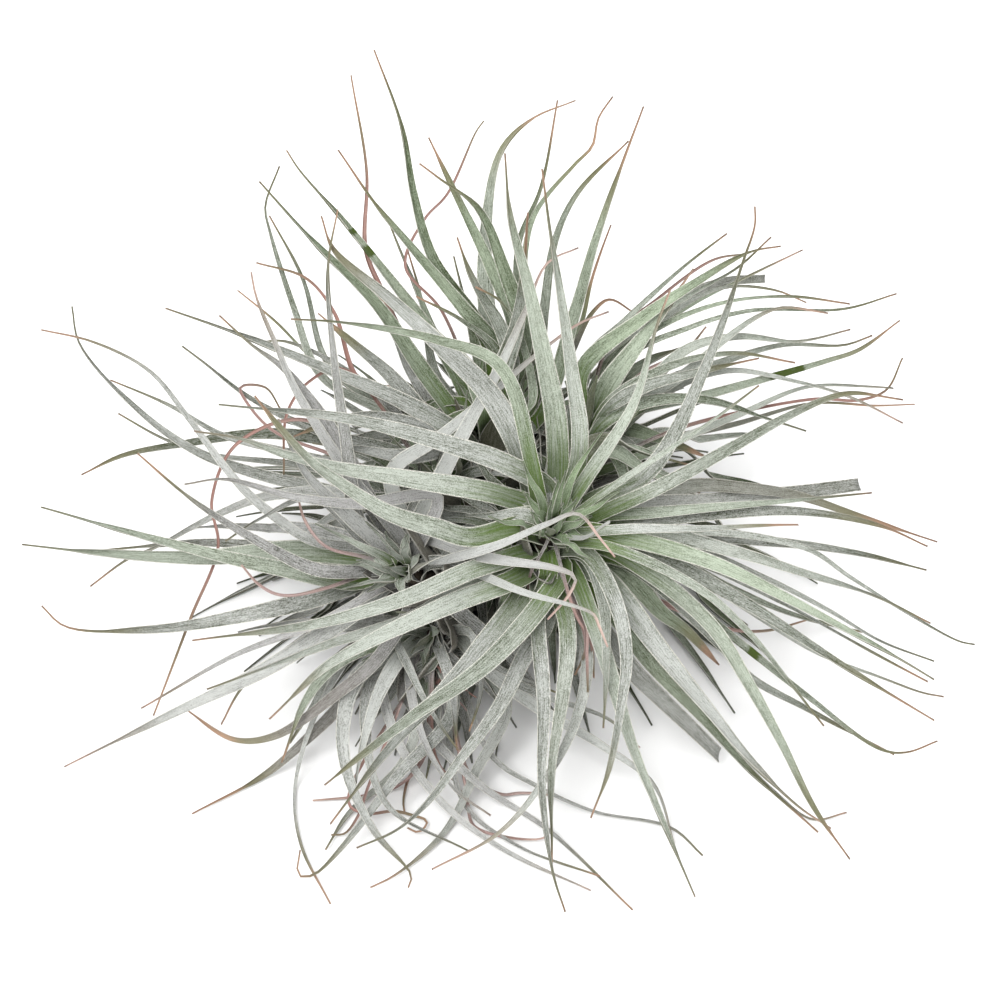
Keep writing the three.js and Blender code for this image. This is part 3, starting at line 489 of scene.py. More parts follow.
def closest_shares(a, b, c, d):
    """The closest places of stretches a-b and c-d, as shares of each."""
    u, v, w = b - a, d - c, a - c
    uu, uv, vv, uw, vw = ((p * q).sum(-1) for p, q in ((u, u), (u, v), (v, v), (u, w), (v, w)))
    spread = uu * vv - uv * uv
    s = np.where(spread > 1e-9, np.clip((uv * vw - vv * uw) / np.maximum(spread, 1e-9), 0, 1), 0.5)
    t = np.clip((uv * s + vw) / vv, 0, 1)
    return np.clip((uv * t - uw) / uu, 0, 1), t


def close_stretches(strands, owner, starts, places):
    """The pairs of stretches, of two strands each, that may come too close."""
    low = np.minimum(places[starts], places[starts + 1])
    high = np.maximum(places[starts], places[starts + 1])
    fixed = np.array([s.fixed for s in strands])[owner[starts]]
    stem = np.array([isinstance(s, Strand) for s in strands])[owner[starts]]
    rosette = np.array([id(s.rosette) for s in strands])[owner[starts]]
    pairs = []
    for m in range(len(starts) - 1):
        later = slice(m + 1, None)
        near = ((low[later] <= high[m] + PAIR_REACH) & (high[later] >= low[m] - PAIR_REACH)).all(1)
        near &= owner[starts[later]] != owner[starts[m]]
        near &= ~(fixed[later] & fixed[m])
        near &= ~((stem[later] | stem[m]) & (rosette[later] == rosette[m]))
        others = np.flatnonzero(near) + m + 1
        pairs.append(np.stack([np.full(len(others), starts[m]), starts[others]], 1))
    return np.vstack(pairs)


def lay_clear(strands):
    """Leaves lie over one another without touching: where two come too close they are bent apart,
    a listed leaf only towards the viewer or away, and the bend is spread along the leaf."""
    counts = np.array([len(s.places) for s in strands])
    owner = np.repeat(np.arange(len(strands)), counts)
    order = np.concatenate([np.arange(count) for count in counts])
    last = order == counts[owner] - 1
    straight = np.vstack([s.places for s in strands])
    girths = np.concatenate([s.girths for s in strands])
    listed = np.array([s.listed for s in strands])[owner]
    free = ~np.array([s.fixed for s in strands])[owner]
    i, j = close_stretches(strands, owner, np.flatnonzero(~last), straight).T
    before = np.arange(len(order)) - (order > 0)
    after = np.arange(len(order)) + ~last
    grip = np.minimum(1, order / 2)[:, None]
    bends = np.zeros_like(straight)
    places = straight.copy()
    for step in range(ROUNDS):
        s, t = closest_shares(places[i], places[i + 1], places[j], places[j + 1])
        s1, t1 = s[:, None], t[:, None]
        apart = mix(places[i], places[i + 1], s1) - mix(places[j], places[j + 1], t1)
        reach = mix(girths[i], girths[i + 1], s) + mix(girths[j], girths[j + 1], t)
        gap = norm(apart, axis=1)
        touch = gap < reach
        a, b, reach, gap, apart = i[touch], j[touch], reach[touch], gap[touch], apart[touch]
        s1, t1 = s1[touch], t1[touch]
        flat = np.minimum(np.hypot(apart[:, 0], apart[:, 1]), reach)
        rise = np.sqrt(reach ** 2 - flat ** 2) - np.abs(apart[:, 2])
        near = VIEWER * (rise * np.where(apart[:, 2] < 0, -1, 1))[:, None]
        straight_push = unit(apart) * (reach - gap)[:, None]
        moves = np.zeros_like(places)
        for who, share, way in ((a, s1, 0.5), (b, t1, -0.5)):
            push = np.where(listed[who][:, None], near, straight_push) * way
            np.add.at(moves, who, push * (1 - share))
            np.add.at(moves, who + 1, push * share)
        size = norm(moves, axis=1, keepdims=True)
        bends += moves * np.minimum(1, MOST_MOVE / np.maximum(size, 1e-9)) * grip
        if step < SMOOTH_ROUNDS:
            spread = mix(bends, (bends[before] + bends[after]) / 2, SMOOTHING)
            bends = np.where((order > 0)[:, None], spread, bends)
        places = straight + np.where(free[:, None], bends, 0)
        lowest = floor_near(places[:, 1], FLOOR_CLEARANCE)
        places[:, 2] = np.where(free, np.maximum(places[:, 2], lowest), places[:, 2])
    for n, strand in enumerate(strands):
        if not strand.fixed:
            strand.places = places[owner == n]
            strand.bends = bends[owner == n]


def stems_and_base(rosettes):
    """The strands of the base and of each rosette's stem."""
    on_axis = [SKY * (height - PLANE_HEIGHT) for height in (0, CROWN_HEIGHT)]
    girths = (BASE_PROFILE[1][0] + BASE_MARGIN, BASE_PROFILE[2][0] + STEM_MARGIN)
    yield Strand(None, on_axis, girths)
    for rosette in rosettes:
        ends = [CROWN, rosette.heart - rosette.axis * YOUNGEST_ROOT]
        yield Strand(rosette, ends, (BRANCH_RADIUS + STEM_MARGIN, STEM_RADIUS + STEM_MARGIN))


# ---- Leaves that the frame leaves out ----

# Dead leaves, traced as the others, that are too thin for the frame.
DEAD = {
    "front": """
d 1.4 -0.3 26,-40 27,-48 24,-56
d 1.6 -0.25 24,-36 29,-46 30,-57
b 2.6 -0.1 13,2 12.5,9.5
c 1.8 0.75 26,-12 35,-7.5
""",
    "low": """
d 1.5 -0.2 -24,-82 -32,-91 -41,-94 -60,-96
d 1.1 -0.15 -26,-84 -29.5,-89 -31,-96.5 -30.5,-100
d 0.9 -0.02 -48,-97 -42.5,-100 -34,-99.5 -28,-101 -23.5,-103 -26,-106 -29.5,-104.5
d 1.8 -0.2 -22,-72 -21.5,-80 -19,-86 -15,-89.5 -12,-93.5
d 1.2 -0.15 -10,-88 0.5,-94.5 6,-94 13,-94 20,-95
d 1 -0.1 -11,-92 -9,-103.5 -5.5,-106 0,-107.5 6.5,-108.5 12.5,-108.5 15.5,-107.5
d 1.1 -0.12 -42,-92 -45,-101 -49.5,-107 -54,-107.5
d 2 -0.2 -18,-44 -16,-52 -18,-60
""",
}
# For each rosette: how many leaves are added low on its stem and on its inner side, and how much
# greener and paler its leaves are than the others. The much darker tone of the upper_left, top and
# back rosettes is painted shade.
HABITS = {
    "front": (10, 9, 0.05, -0.08),
    "left": (2, 4, -0.22, -0.05),
    "low": (8, 7, -0.18, -0.04),
    "upper_left": (12, 9, -0.1, -0.42),
    "top": (12, 9, 0.18, -0.45),
    "right": (5, 6, 0.16, -0.14),
    "back": (12, 9, 0, -0.3),
}
EXTRA_YOUNG, YOUNG_WIDTH = 2, 2.6
# Widths, shares of the filler leaves' length, and leans, each between two values. The low and the
# dead leaves lean as their rosette's filler leaves do.
LOW_SPANS = [(4.5, 6.5), (0.28, 0.55)]
INNER_SPANS = [(4.0, 5.5), (0.25, 0.5), (-0.1, 0.35)]
DEAD_SPANS = [(0.9, 1.3), (0.3, 0.5)]
LOW_FIRST_TURN, LOW_PAST_TURN, LOW_OLIVE = 0.15, 30, 0.35
EXTRA_DEAD = 3
COLLAR, COLLAR_TILT, COLLAR_WIDTH, COLLAR_LENGTH = 8, (35, 60), 5.0, (11, 16)
EXTRA_GIRTH = 0.45
HUSKS, HUSK_WRAP, HUSK_LENGTH, HUSK_TILT = 22, (1.4, 2.0), (12, 28), (12, 40)
HUSK_SUNK, HUSK_SAG, HUSK_LOWEST, HUSK_HIGHEST = 0.5, 0.05, 6, 0.6


def drawn_filler(rosette, kind, spans, angle, draw):
    """A filler leaf with its width, share of the length and lean by draw."""
    width, share, lean = (mix(*span, value) for span, value in zip(spans, draw))
    return filler_leaf(rosette, kind, width, share, angle, lean)


def low_leaves(rosette):
    """Older leaves between those of the frame, low on the stem and turned from the viewer."""
    turn = rosette.turn[0] - LOW_PAST_TURN, rosette.turn[1] + LOW_PAST_TURN
    for i in range(HABITS[rosette.name][0]):
        draw = random.random(4)
        angle = mix(*turn, (LOW_FIRST_TURN + i * FILLER["next_turn"]) % 1)
        kind = "o" if draw[0] < LOW_OLIVE else "s"
        yield drawn_filler(rosette, kind, [*LOW_SPANS, rosette.lean], angle, draw[1:])


def inner_leaves(rosette):
    """Leaves on the side towards the other rosettes, where the frame has few."""
    count = HABITS[rosette.name][1]
    for i in range(count):
        angle = mix(rosette.turn[1], rosette.turn[0] + 360, (i + 0.5) / count)
        yield drawn_filler(rosette, "s", INNER_SPANS, angle, random.random(3))


def collar_leaves(rosette):
    """Short leaves that close the heart, below the young ones."""
    for i in range(COLLAR):
        direction = opened(rosette, mix(*COLLAR_TILT, i / COLLAR), i)
        length = mix(*COLLAR_LENGTH, random.random())
        yield free_leaf(rosette, "g", COLLAR_WIDTH, length, direction, 0)


def dead_leaves(rosette):
    """Thin dead leaves, some traced and some by rule, that curl among the others."""
    for line in DEAD.get(rosette.name, "").strip().splitlines():
        yield traced_leaf(rosette, line)
    for _ in range(EXTRA_DEAD):
        draw = random.random(4)
        yield drawn_filler(rosette, "d", [*DEAD_SPANS, rosette.lean], mix(*rosette.turn, draw[2]),
                           draw[[0, 1, 3]])


def extra_leaves(rosette):
    """All of the leaves that the frame leaves out, on their stem."""
    leaves = [*young_leaves(rosette, -EXTRA_YOUNG, 0, YOUNG_WIDTH), *collar_leaves(rosette)]
    young = len(leaves)
    leaves += [*low_leaves(rosette), *inner_leaves(rosette), *dead_leaves(rosette)]
    for i, leaf in enumerate(leaves):
        leaf.index = len(rosette.leaves) + i
        depth = YOUNGEST_ROOT
        if i >= young:
            depth = mix(depth, rosette.lowest_root, random.random())
        leaf.plant(root_of(leaf, depth, ROOT_OFFSET))
        leaf.girths = leaf.girths * EXTRA_GIRTH
    return leaves


def husks(rosette):
    """The dry, broad bases of old leaves, one over another all the way up the branch and stem."""
    whole = BRANCH_LENGTH + rosette.stem_length
    highest = BRANCH_LENGTH + HUSK_HIGHEST * rosette.stem_length
    for i in range(HUSKS):
        draw = random.random(3)
        height = mix(HUSK_LOWEST, highest, i / (HUSKS - 1))
        radius = np.interp((height - BRANCH_LENGTH) / rosette.stem_length, *zip(*STEM_PROFILE))
        direction = opened(rosette, mix(*HUSK_TILT, draw[0]), i)
        width, length = radius * mix(*HUSK_WRAP, draw[1]), mix(*HUSK_LENGTH, draw[2])
        leaf = free_leaf(rosette, "h", width, length, direction, HUSK_SAG)
        leaf.index = i
        leaf.plant(root_of(leaf, whole - height, radius - HUSK_SUNK))
        yield leaf


# ---- The fine blades ----

# The places of a section's points across the blade, above and then back below.
TOP_COLUMNS = np.array([-1, -0.88, -0.45, 0, 0.45, 0.88, 1])
UNDER_COLUMNS = TOP_COLUMNS[-2:0:-1]
COLUMNS = np.concatenate([TOP_COLUMNS, UNDER_COLUMNS])
UNDER = np.concatenate([np.zeros(len(TOP_COLUMNS)), np.ones(len(UNDER_COLUMNS))])
RING_STEP, DEAD_RING_STEP, LEAST_RINGS = 3.0, 1.4, 10
BLADE_THICK, FULL_THICK_WIDTH, EDGE_THIN = 0.75, 3, 0.7
# A blade is rolled by these angles to each side of its middle.
ROOT_CURL, MID_CURL, TIP_CURL = radians(85), radians(24), radians(125)
HUSK_CURL, DEAD_CURL = radians(60), radians(110)
CURL_SAG = 0.35
STEADY = 0.5
FULL_TO, TAPER = 0.3, 0.72
WIDER, YOUNG_GIRTH, NARROW_GIRTH, DEAD_GIRTH = 1.12, 0.88, 0.75, 0.62
CUT_ROOT_SHARE = 1.05
THREAD_WIDTH, THREAD_END = 0.8, 0.6
# Shares of a leaf's length: where it has stopped clasping, where it has uncurled, and how far
# before its thread it begins to roll. Then where its wave and its turn begin and are whole, and
# where its thread begins and ends to thin.
CLASP_TO, UNCURL_TO, ROLL_BEFORE = 0.16, 0.22, 0.3
WAVE_OVER, TURN_OVER, THREAD_OVER = (0.05, 0.6), (0.3, 1), (0.8, 1)
# How far apart the leaves lie in the material's noise, across and in depth, and their undersides.
SEED_ACROSS, SEED_DEPTH, UNDER_DEPTH = 20, 61, 7
FLOOR_GAP = 0.05
UV_COLUMNS, UV_FILL = 3, np.array([0.98, 0.94])


def placed(name, data):
    """A new object in the scene."""
    item = bpy.data.objects.new(name, data)
    bpy.context.scene.collection.objects.link(item)
    return item


class Blades:
    """A mesh in the making: rings of points and what the material reads at each."""

    def __init__(self):
        self.points, self.faces, self.corners = [], [], []
        self.fibre, self.place, self.habit = [], [], []
        self.count = 0

    def add_blade(self, rings, fibre, place, habit):
        """A closed blade through rings of points, with both ends closed."""
        count, sides = rings.shape[:2]
        start = self.count
        k = np.arange(sides)
        a = start + np.arange(count - 1)[:, None] * sides + k
        b = start + np.arange(count - 1)[:, None] * sides + (k + 1) % sides
        self.faces += np.stack([b, a, a + sides, b + sides], -1).reshape(-1, 4).tolist()
        u0, v0 = np.meshgrid(np.arange(count - 1) / (count - 1), k / sides, indexing="ij")
        u1, v1 = u0 + 1 / (count - 1), v0 + 1 / sides
        quads = np.stack([u0, v1, u0, v0, u1, v0, u1, v1], -1).reshape(-1, 2)
        cap = cap_faces(sides)
        ends = [(0, face) for face in cap] + [(1, face[::-1]) for face in cap]
        self.faces += [[start + end * (count - 1) * sides + n for n in face] for end, face in ends]
        caps = [(end, n / sides) for end, face in ends for n in face]
        self.corners.append(np.vstack([quads, caps]))
        self.points.append(rings.reshape(-1, 3))
        for store, values in ((self.fibre, fibre), (self.place, place), (self.habit, habit)):
            store.append(values.reshape(-1, values.shape[-1]))
        self.count += count * sides

    def build(self, name):
        """The object, with each blade's own strip in its UV map."""
        mesh = bpy.data.meshes.new(name)
        points = np.vstack(self.points) * METRES
        mesh.from_pydata(points.tolist(), [], self.faces)
        rows = math.ceil(len(self.corners) / UV_COLUMNS)
        uv = [(corners * UV_FILL + (n % UV_COLUMNS, n // UV_COLUMNS)) / (UV_COLUMNS, rows)
              for n, corners in enumerate(self.corners)]
        mesh.uv_layers.new(name="OFBake").data.foreach_set("uv", np.vstack(uv).ravel())
        for title, kind, key, store in (("fibre", "FLOAT_VECTOR", "vector", self.fibre),
                                        ("place", "FLOAT_COLOR", "color", self.place),
                                        ("habit", "FLOAT_COLOR", "color", self.habit)):
            values = np.vstack(store).astype(np.float32)
            mesh.attributes.new(title, kind, "POINT").data.foreach_set(key, values.ravel())
        mesh.polygons.foreach_set("use_smooth", np.ones(len(mesh.polygons), bool))
        return placed(name, mesh)


def cap_faces(sides):
    """The faces that close a section, from its upper points to the lower ones below them."""
    top = len(TOP_COLUMNS)
    across = [(n, n + 1, sides - n - 1, sides - n) for n in range(1, top - 2)]
    return [(0, 1, sides - 1), *across, (top - 2, top - 1, top)]


def bend_at(leaf, shares):
    """The leaf's bend, on a smooth (cubic) line through its coarse rings."""
    bends, step = leaf.bends, leaf.shares[1]
    k = np.minimum((shares / step).astype(int), len(bends) - 2)
    t = (shares / step - k)[:, None]
    padded = np.vstack([2 * bends[0] - bends[1], bends, 2 * bends[-1] - bends[-2]])
    p0, p1, p2, p3 = (padded[k + n] for n in range(4))
    return p1 + 0.5 * t * (p2 - p0 + t * (2 * p0 - 5 * p1 + 4 * p2 - p3
                                          + t * (3 * (p1 - p2) + p3 - p0)))


def upper_side(along, facing):
    """Where the leaf's upper side faces at each ring: towards facing, with no sudden turn."""
    above = np.empty_like(along)
    last = facing
    for i, way in enumerate(along):
        wanted = facing - way * (facing @ way)
        carried = unit(last - way * (last @ way))
        above[i] = last = unit(carried + STEADY * (wanted @ wanted) * unit(wanted))
    return above


def fine_width(leaf, s):
    """The width that shows: broad at the clasping root, and run out to a thread at the tip."""
    if leaf.kind == "c":
        return leaf.width * mix(CUT_ROOT_SHARE, CUT_WIDTH_SHARE, s)
    ahead = np.maximum(leaf.thread_from - s, 0) / (leaf.thread_from - FULL_TO)
    taper = np.minimum(1, ahead) ** TAPER
    root = mix(leaf.root_width, 1, smooth(s, 0, CLASP_TO))
    thread = THREAD_WIDTH * mix(1, THREAD_END, smooth(s, *THREAD_OVER))
    return np.maximum(leaf.width * leaf.girth * taper * root, np.minimum(thread, leaf.width))


def per_point(shape, *values):
    """Values at each point of the rings, side by side."""
    return np.stack([np.broadcast_to(value, shape) for value in values], -1)


def leaf_blade(blades, leaf):
    """One leaf: a channelled blade that clasps the stem and rolls up towards its tip."""
    length = norm(np.diff(in_frame(leaf.places), axis=0), axis=1).sum()
    step = DEAD_RING_STEP if leaf.kind in "db" or leaf.stains else RING_STEP
    count = max(LEAST_RINGS, round(length / step))
    s = np.linspace(0, 1, count + 1)
    places = leaf.grow(leaf.root, s) + bend_at(leaf, s)
    places[:, 2] = np.maximum(places[:, 2], floor_near(places[:, 1], FLOOR_CLEARANCE))
    line = in_frame(places)
    along = unit(np.gradient(line, axis=0))
    turn = LISTED_TURN if leaf.listed else FREE_TURN
    facing = direction_in_frame(leaf.rosette.axis + VIEWER * (0 if leaf.kind == "h" else turn))
    above = upper_side(along, facing)
    across = np.cross(above, along)
    wave = leaf.wave * smooth(s, *WAVE_OVER)
    line = (line + across * (wave * np.sin(s * leaf.waves + leaf.phase))[:, None]
            + above * (leaf.coil * wave * np.cos(s * leaf.waves + leaf.phase))[:, None])
    angle = TWIST * s * math.sin(leaf.index * GOLDEN_TURN) + leaf.turn * smooth(s, *TURN_OVER)
    above, across = (above * np.cos(angle)[:, None] - across * np.sin(angle)[:, None],
                     across * np.cos(angle)[:, None] + above * np.sin(angle)[:, None])
    width = fine_width(leaf, s)
    curl = mix(ROOT_CURL, leaf.curl, smooth(s, 0, UNCURL_TO))
    if leaf.kind not in "ch":
        curl = mix(curl, TIP_CURL, smooth(s, leaf.thread_from - ROLL_BEFORE, leaf.thread_from))
    radius = width / (2 * np.sin(np.minimum(curl, math.pi / 2)))
    thick = BLADE_THICK * np.minimum(1, width / FULL_THICK_WIDTH)
    spread = np.outer(curl, COLUMNS)
    inset = np.outer(thick, (1 - EDGE_THIN * COLUMNS ** 2) * UNDER)
    sag = (radius * (1 - np.cos(curl)) * CURL_SAG)[:, None]
    x = (radius[:, None] + inset) * np.sin(spread)
    y = radius[:, None] * (1 - np.cos(spread)) - inset * np.cos(spread) - sag
    rings = line[:, None] + across[:, None] * x[..., None] + above[:, None] * y[..., None]
    rings[..., 2] += np.maximum(0, FLOOR_GAP - rings[..., 2].min(axis=1))[:, None]
    shape = rings.shape[:2]
    fibre = per_point(shape, COLUMNS * leaf.width / 2 + leaf.seed * SEED_ACROSS,
                      (s * length)[:, None], leaf.seed * SEED_DEPTH + UNDER * UNDER_DEPTH)
    place = per_point(shape, s[:, None], np.abs(COLUMNS), UNDER, stain_at(leaf, places)[:, None])
    habit = per_point(shape, leaf.green, leaf.dry, leaf.tone, leaf.tip_from)
    blades.add_blade(rings, fibre, place, habit)


# ---- What each leaf is like ----

# How green and how dry each kind is; h is a dry husk.
KINDS = {"g": (0.52, 0), "s": (0.42, 0), "n": (0.42, 0), "o": (0.55, 0.05), "d": (0, 1),
         "c": (0.3, 0.15), "b": (0.35, 0.4), "h": (0.2, 0.3)}
YOUNG_LEAST_GREEN, GREEN_SPREAD, OLIVE_DARKER = 0.6, 0.22, 0.2
# What a leaf draws for itself, between two values. A tip colours, and a thread starts, from a
# share of the leaf's length.
TONE, DRYNESS, TIP_FROM, THREAD_FROM = (0.1, 0.95), (0.8, 1.1), (0.86, 1.03), (0.84, 1.0)
CURLING, WAVE, WAVES, LEAF_TURN = (0.5, 1.7), (0.1, 0.6), (4, 9), (-25, 25)
DEAD_WAVE, DEAD_WAVES = (1.5, 4.5), (5, 12)
CLASP = 1.25
# Tone that painted shade takes off the leaves on the shaded side of the front and top rosettes, how
# much earlier the top rosette's other tips colour, and tone that painted shade takes off the leaves
# hidden inside the clump.
SIDE_PAINTED_SHADE, EARLIER_TIP, HIDDEN_PAINTED_SHADE = 0.2, 0.12, 0.5
YOUNG_GREEN, YOUNG_GREENER, YOUNG_TONE = 0.85, 1.3, 0.3
# Leaves that lean this far to the viewer, over the others, are pale with painted light: their tone,
# tip_from and thread_from. Then the tone and tip_from of a broad dead leaf.
FAR_LEAN, PALE, BROAD_DEAD = 0.6, (1.0, 0.82, 0.86), (0.2, 0.8)
NEVER = 1.3
STAIN_REACH = 1.6
# Dark spots, each on the leaves of one kind and rosette, as the places right,up and a size.
STAINS = [
    ("top", "o", (-47, 86), 0.9),
    ("top", "o", (-42, 79.5), 1.6),
    ("front", "s", (81, -49.3), 1.6),
    ("right", "g", (88.5, 40), 1.8),
    ("right", "g", (92, 41), 1.8),
    ("right", "g", (96, 42), 1.2),
]


def stain_at(leaf, places):
    """How dark each place is with a spot."""
    dark = np.zeros(len(places))
    for spot, size in leaf.stains:
        dark = np.maximum(dark, STAIN_REACH - np.hypot(*(places[:, :2] - spot).T) / size)
    return np.clip(dark, 0, 1)


def finish_leaf(leaf):
    """The leaf's own draw of shape and colour, with painted light and shade on its tone."""
    draw = random.random(12)
    kind, home = leaf.kind, leaf.rosette.name
    greener, paler = HABITS[home][2:]
    green, dry = KINDS[kind]
    leaf.seed = draw[0]
    # paler from HABITS: painted shade for the upper_left, top and back rosettes, which lie further
    # back.
    leaf.tone = mix(*TONE, draw[1]) + paler - (OLIVE_DARKER if kind == "o" else 0)
    leaf.green = green + greener + GREEN_SPREAD * (draw[2] - 0.5)
    leaf.dry = dry * mix(*DRYNESS, draw[3])
    leaf.tip_from = mix(*TIP_FROM, draw[4])
    leaf.thread_from = mix(*THREAD_FROM, draw[8])
    leaf.curl = MID_CURL * mix(*CURLING, draw[5])
    leaf.wave, leaf.waves, leaf.coil = mix(*WAVE, draw[6]), mix(*WAVES, draw[7]), 0
    leaf.phase = draw[9] * math.tau
    leaf.turn = radians(mix(*LEAF_TURN, draw[10]))
    leaf.root_width, leaf.girth = CLASP, WIDER
    if kind == "g":
        leaf.green = max(leaf.green, YOUNG_LEAST_GREEN)
    to_right = leaf.places[-1, 0] > leaf.rosette.heart[0]
    if (home, to_right) in (("front", True), ("top", False)):
        # Painted shade on the front rosette's leaves to the right and the top rosette's leaves to
        # the left.
        leaf.tone -= SIDE_PAINTED_SHADE
    elif home == "top":
        leaf.tip_from -= EARLIER_TIP
    # Painted light: the leaves that lie over the others take a pale tone.
    if leaf.listed and (leaf.lean > FAR_LEAN or home == "left" and to_right):
        leaf.tone, leaf.tip_from, leaf.thread_from = PALE
    leaf.stains = [(spot, size) for where, sort, spot, size in STAINS
                   if leaf.listed and (where, sort) == (home, kind)]
    if not leaf.listed and kind == "g":
        leaf.green, leaf.tone = YOUNG_GREEN + YOUNG_GREENER * greener, YOUNG_TONE
        leaf.girth = YOUNG_GIRTH
    elif not leaf.listed:
        # Painted shade on the leaves hidden inside the clump, the husks among them.
        leaf.tone -= HIDDEN_PAINTED_SHADE
    if not leaf.listed or kind == "c":
        leaf.tip_from = NEVER
    if kind == "n":
        leaf.girth = NARROW_GIRTH
    if kind == "b":
        leaf.tone, leaf.tip_from = BROAD_DEAD
    if kind == "d":
        leaf.curl, leaf.root_width, leaf.girth, leaf.thread_from = DEAD_CURL, 1, DEAD_GIRTH, 1
        if not leaf.listed:
            leaf.wave, leaf.waves = mix(*DEAD_WAVE, draw[6]), mix(*DEAD_WAVES, draw[7])
            leaf.coil = 1
    if kind == "h":
        leaf.curl, leaf.root_width, leaf.thread_from, leaf.turn = HUSK_CURL, 1, 1, 0


# ---- Materials ----

def shade_of(red, green, blue):
    """A colour given as it shows on a screen, in 0 to 255."""
    values = np.array([red, green, blue]) / 255
    linear = np.where(values <= 0.04045, values / 12.92, ((values + 0.055) / 1.055) ** 2.4)
    return (*map(float, linear), 1.0)


# Colours as they show on a screen.
BLOOM = 174, 176, 172
BLOOM_COOL = 166, 165, 164
BLOOM_GREEN = 143, 159, 129
# The undersides' own duller bloom, darkened further with painted shade.
BLOOM_UNDER_SHADED = 114, 112, 97
FLESH = 40, 40, 27
FLESH_GREEN = 46, 62, 14
HEART = 74, 100, 16
MARGIN = 214, 212, 202
FADED = 116, 112, 80
TIP = 166, 134, 112
TIP_BRIGHT = 202, 176, 166
TIP_END = 150, 116, 100
DRY = 186, 162, 157
DRY_DARK = 132, 108, 103
DRY_GREY = 84, 79, 68
DRY_RED = 150, 106, 92
STAIN = 52, 68, 4
# The bark's colours are darkened all over with painted shade of the clump's inside.
SHADED_BARK = 62, 54, 45
SHADED_BARK_DARK = 24, 20, 16
SHADED_BARK_GREY = 88, 82, 72


class Shader:
    """A material in the making, with short calls for its nodes."""

    def __init__(self, name):
        self.material = bpy.data.materials.new(name)
        self.material.use_nodes = True
        self.tree = self.material.node_tree
        self.surface = self.tree.nodes["Principled BSDF"]

    def node(self, kind, inputs, **settings):
        node = self.tree.nodes.new(kind)
        for key, value in settings.items():
            setattr(node, key, value)
        self.feed(node, inputs)
        return node

    def feed(self, node, inputs):
        """Link each input of a node, or give it a value."""
        for name, value in inputs.items():
            if isinstance(value, bpy.types.NodeSocket):
                self.tree.links.new(value, node.inputs[name])
            else:
                node.inputs[name].default_value = value

    def put(self, **inputs):
        """Feed the surface; a name is written with _ for a space."""
        self.feed(self.surface, {name.replace("_", " "): value for name, value in inputs.items()})

    def attribute(self, name):
        return self.node("ShaderNodeAttribute", {}, attribute_name=name)

    def parts(self, name):
        """The four numbers of a colour attribute."""
        source = self.attribute(name)
        split = self.node("ShaderNodeSeparateColor", {"Color": source.outputs["Color"]})
        return [*split.outputs, source.outputs["Alpha"]]

    def math(self, operation, *values):
        return self.node("ShaderNodeMath", dict(enumerate(values)), operation=operation).outputs[0]

    def sum(self, *terms):
        """A number: the sum of (value, factor) terms."""
        total = 0.0
        for value, factor in terms:
            total = self.math("MULTIPLY_ADD", value, factor, total)
        return total

    def times(self, a, b):
        return self.math("MULTIPLY", a, b)

    def mix(self, factor, a, b):
        """Colour a, turning to b; each is a socket or a colour as it shows on a screen."""
        a, b = (shade_of(*c) if isinstance(c, tuple) else c for c in (a, b))
        return self.node("ShaderNodeMix", {0: factor, 6: a, 7: b}, data_type="RGBA").outputs[2]

    def step(self, value, low, high):
        """0 below low, 1 above high."""
        return self.node("ShaderNodeMapRange", {"Value": value, "From Min": low, "From Max": high},
                         interpolation_type="SMOOTHSTEP").outputs["Result"]

    def noise(self, vector, scale, detail=2.0):
        """Noise over a vector, at a scale along each of its axes."""
        scaled = self.node("ShaderNodeVectorMath", {0: vector, 1: scale}, operation="MULTIPLY")
        return self.node("ShaderNodeTexNoise", {"Vector": scaled.outputs[0], "Scale": 1.0,
                                                "Detail": detail}).outputs["Fac"]

    def bump(self, height, strength, distance):
        """The surface's relief."""
        bump = self.node("ShaderNodeBump", {"Height": height, "Strength": strength,
                                            "Distance": distance})
        self.put(Normal=bump.outputs["Normal"])


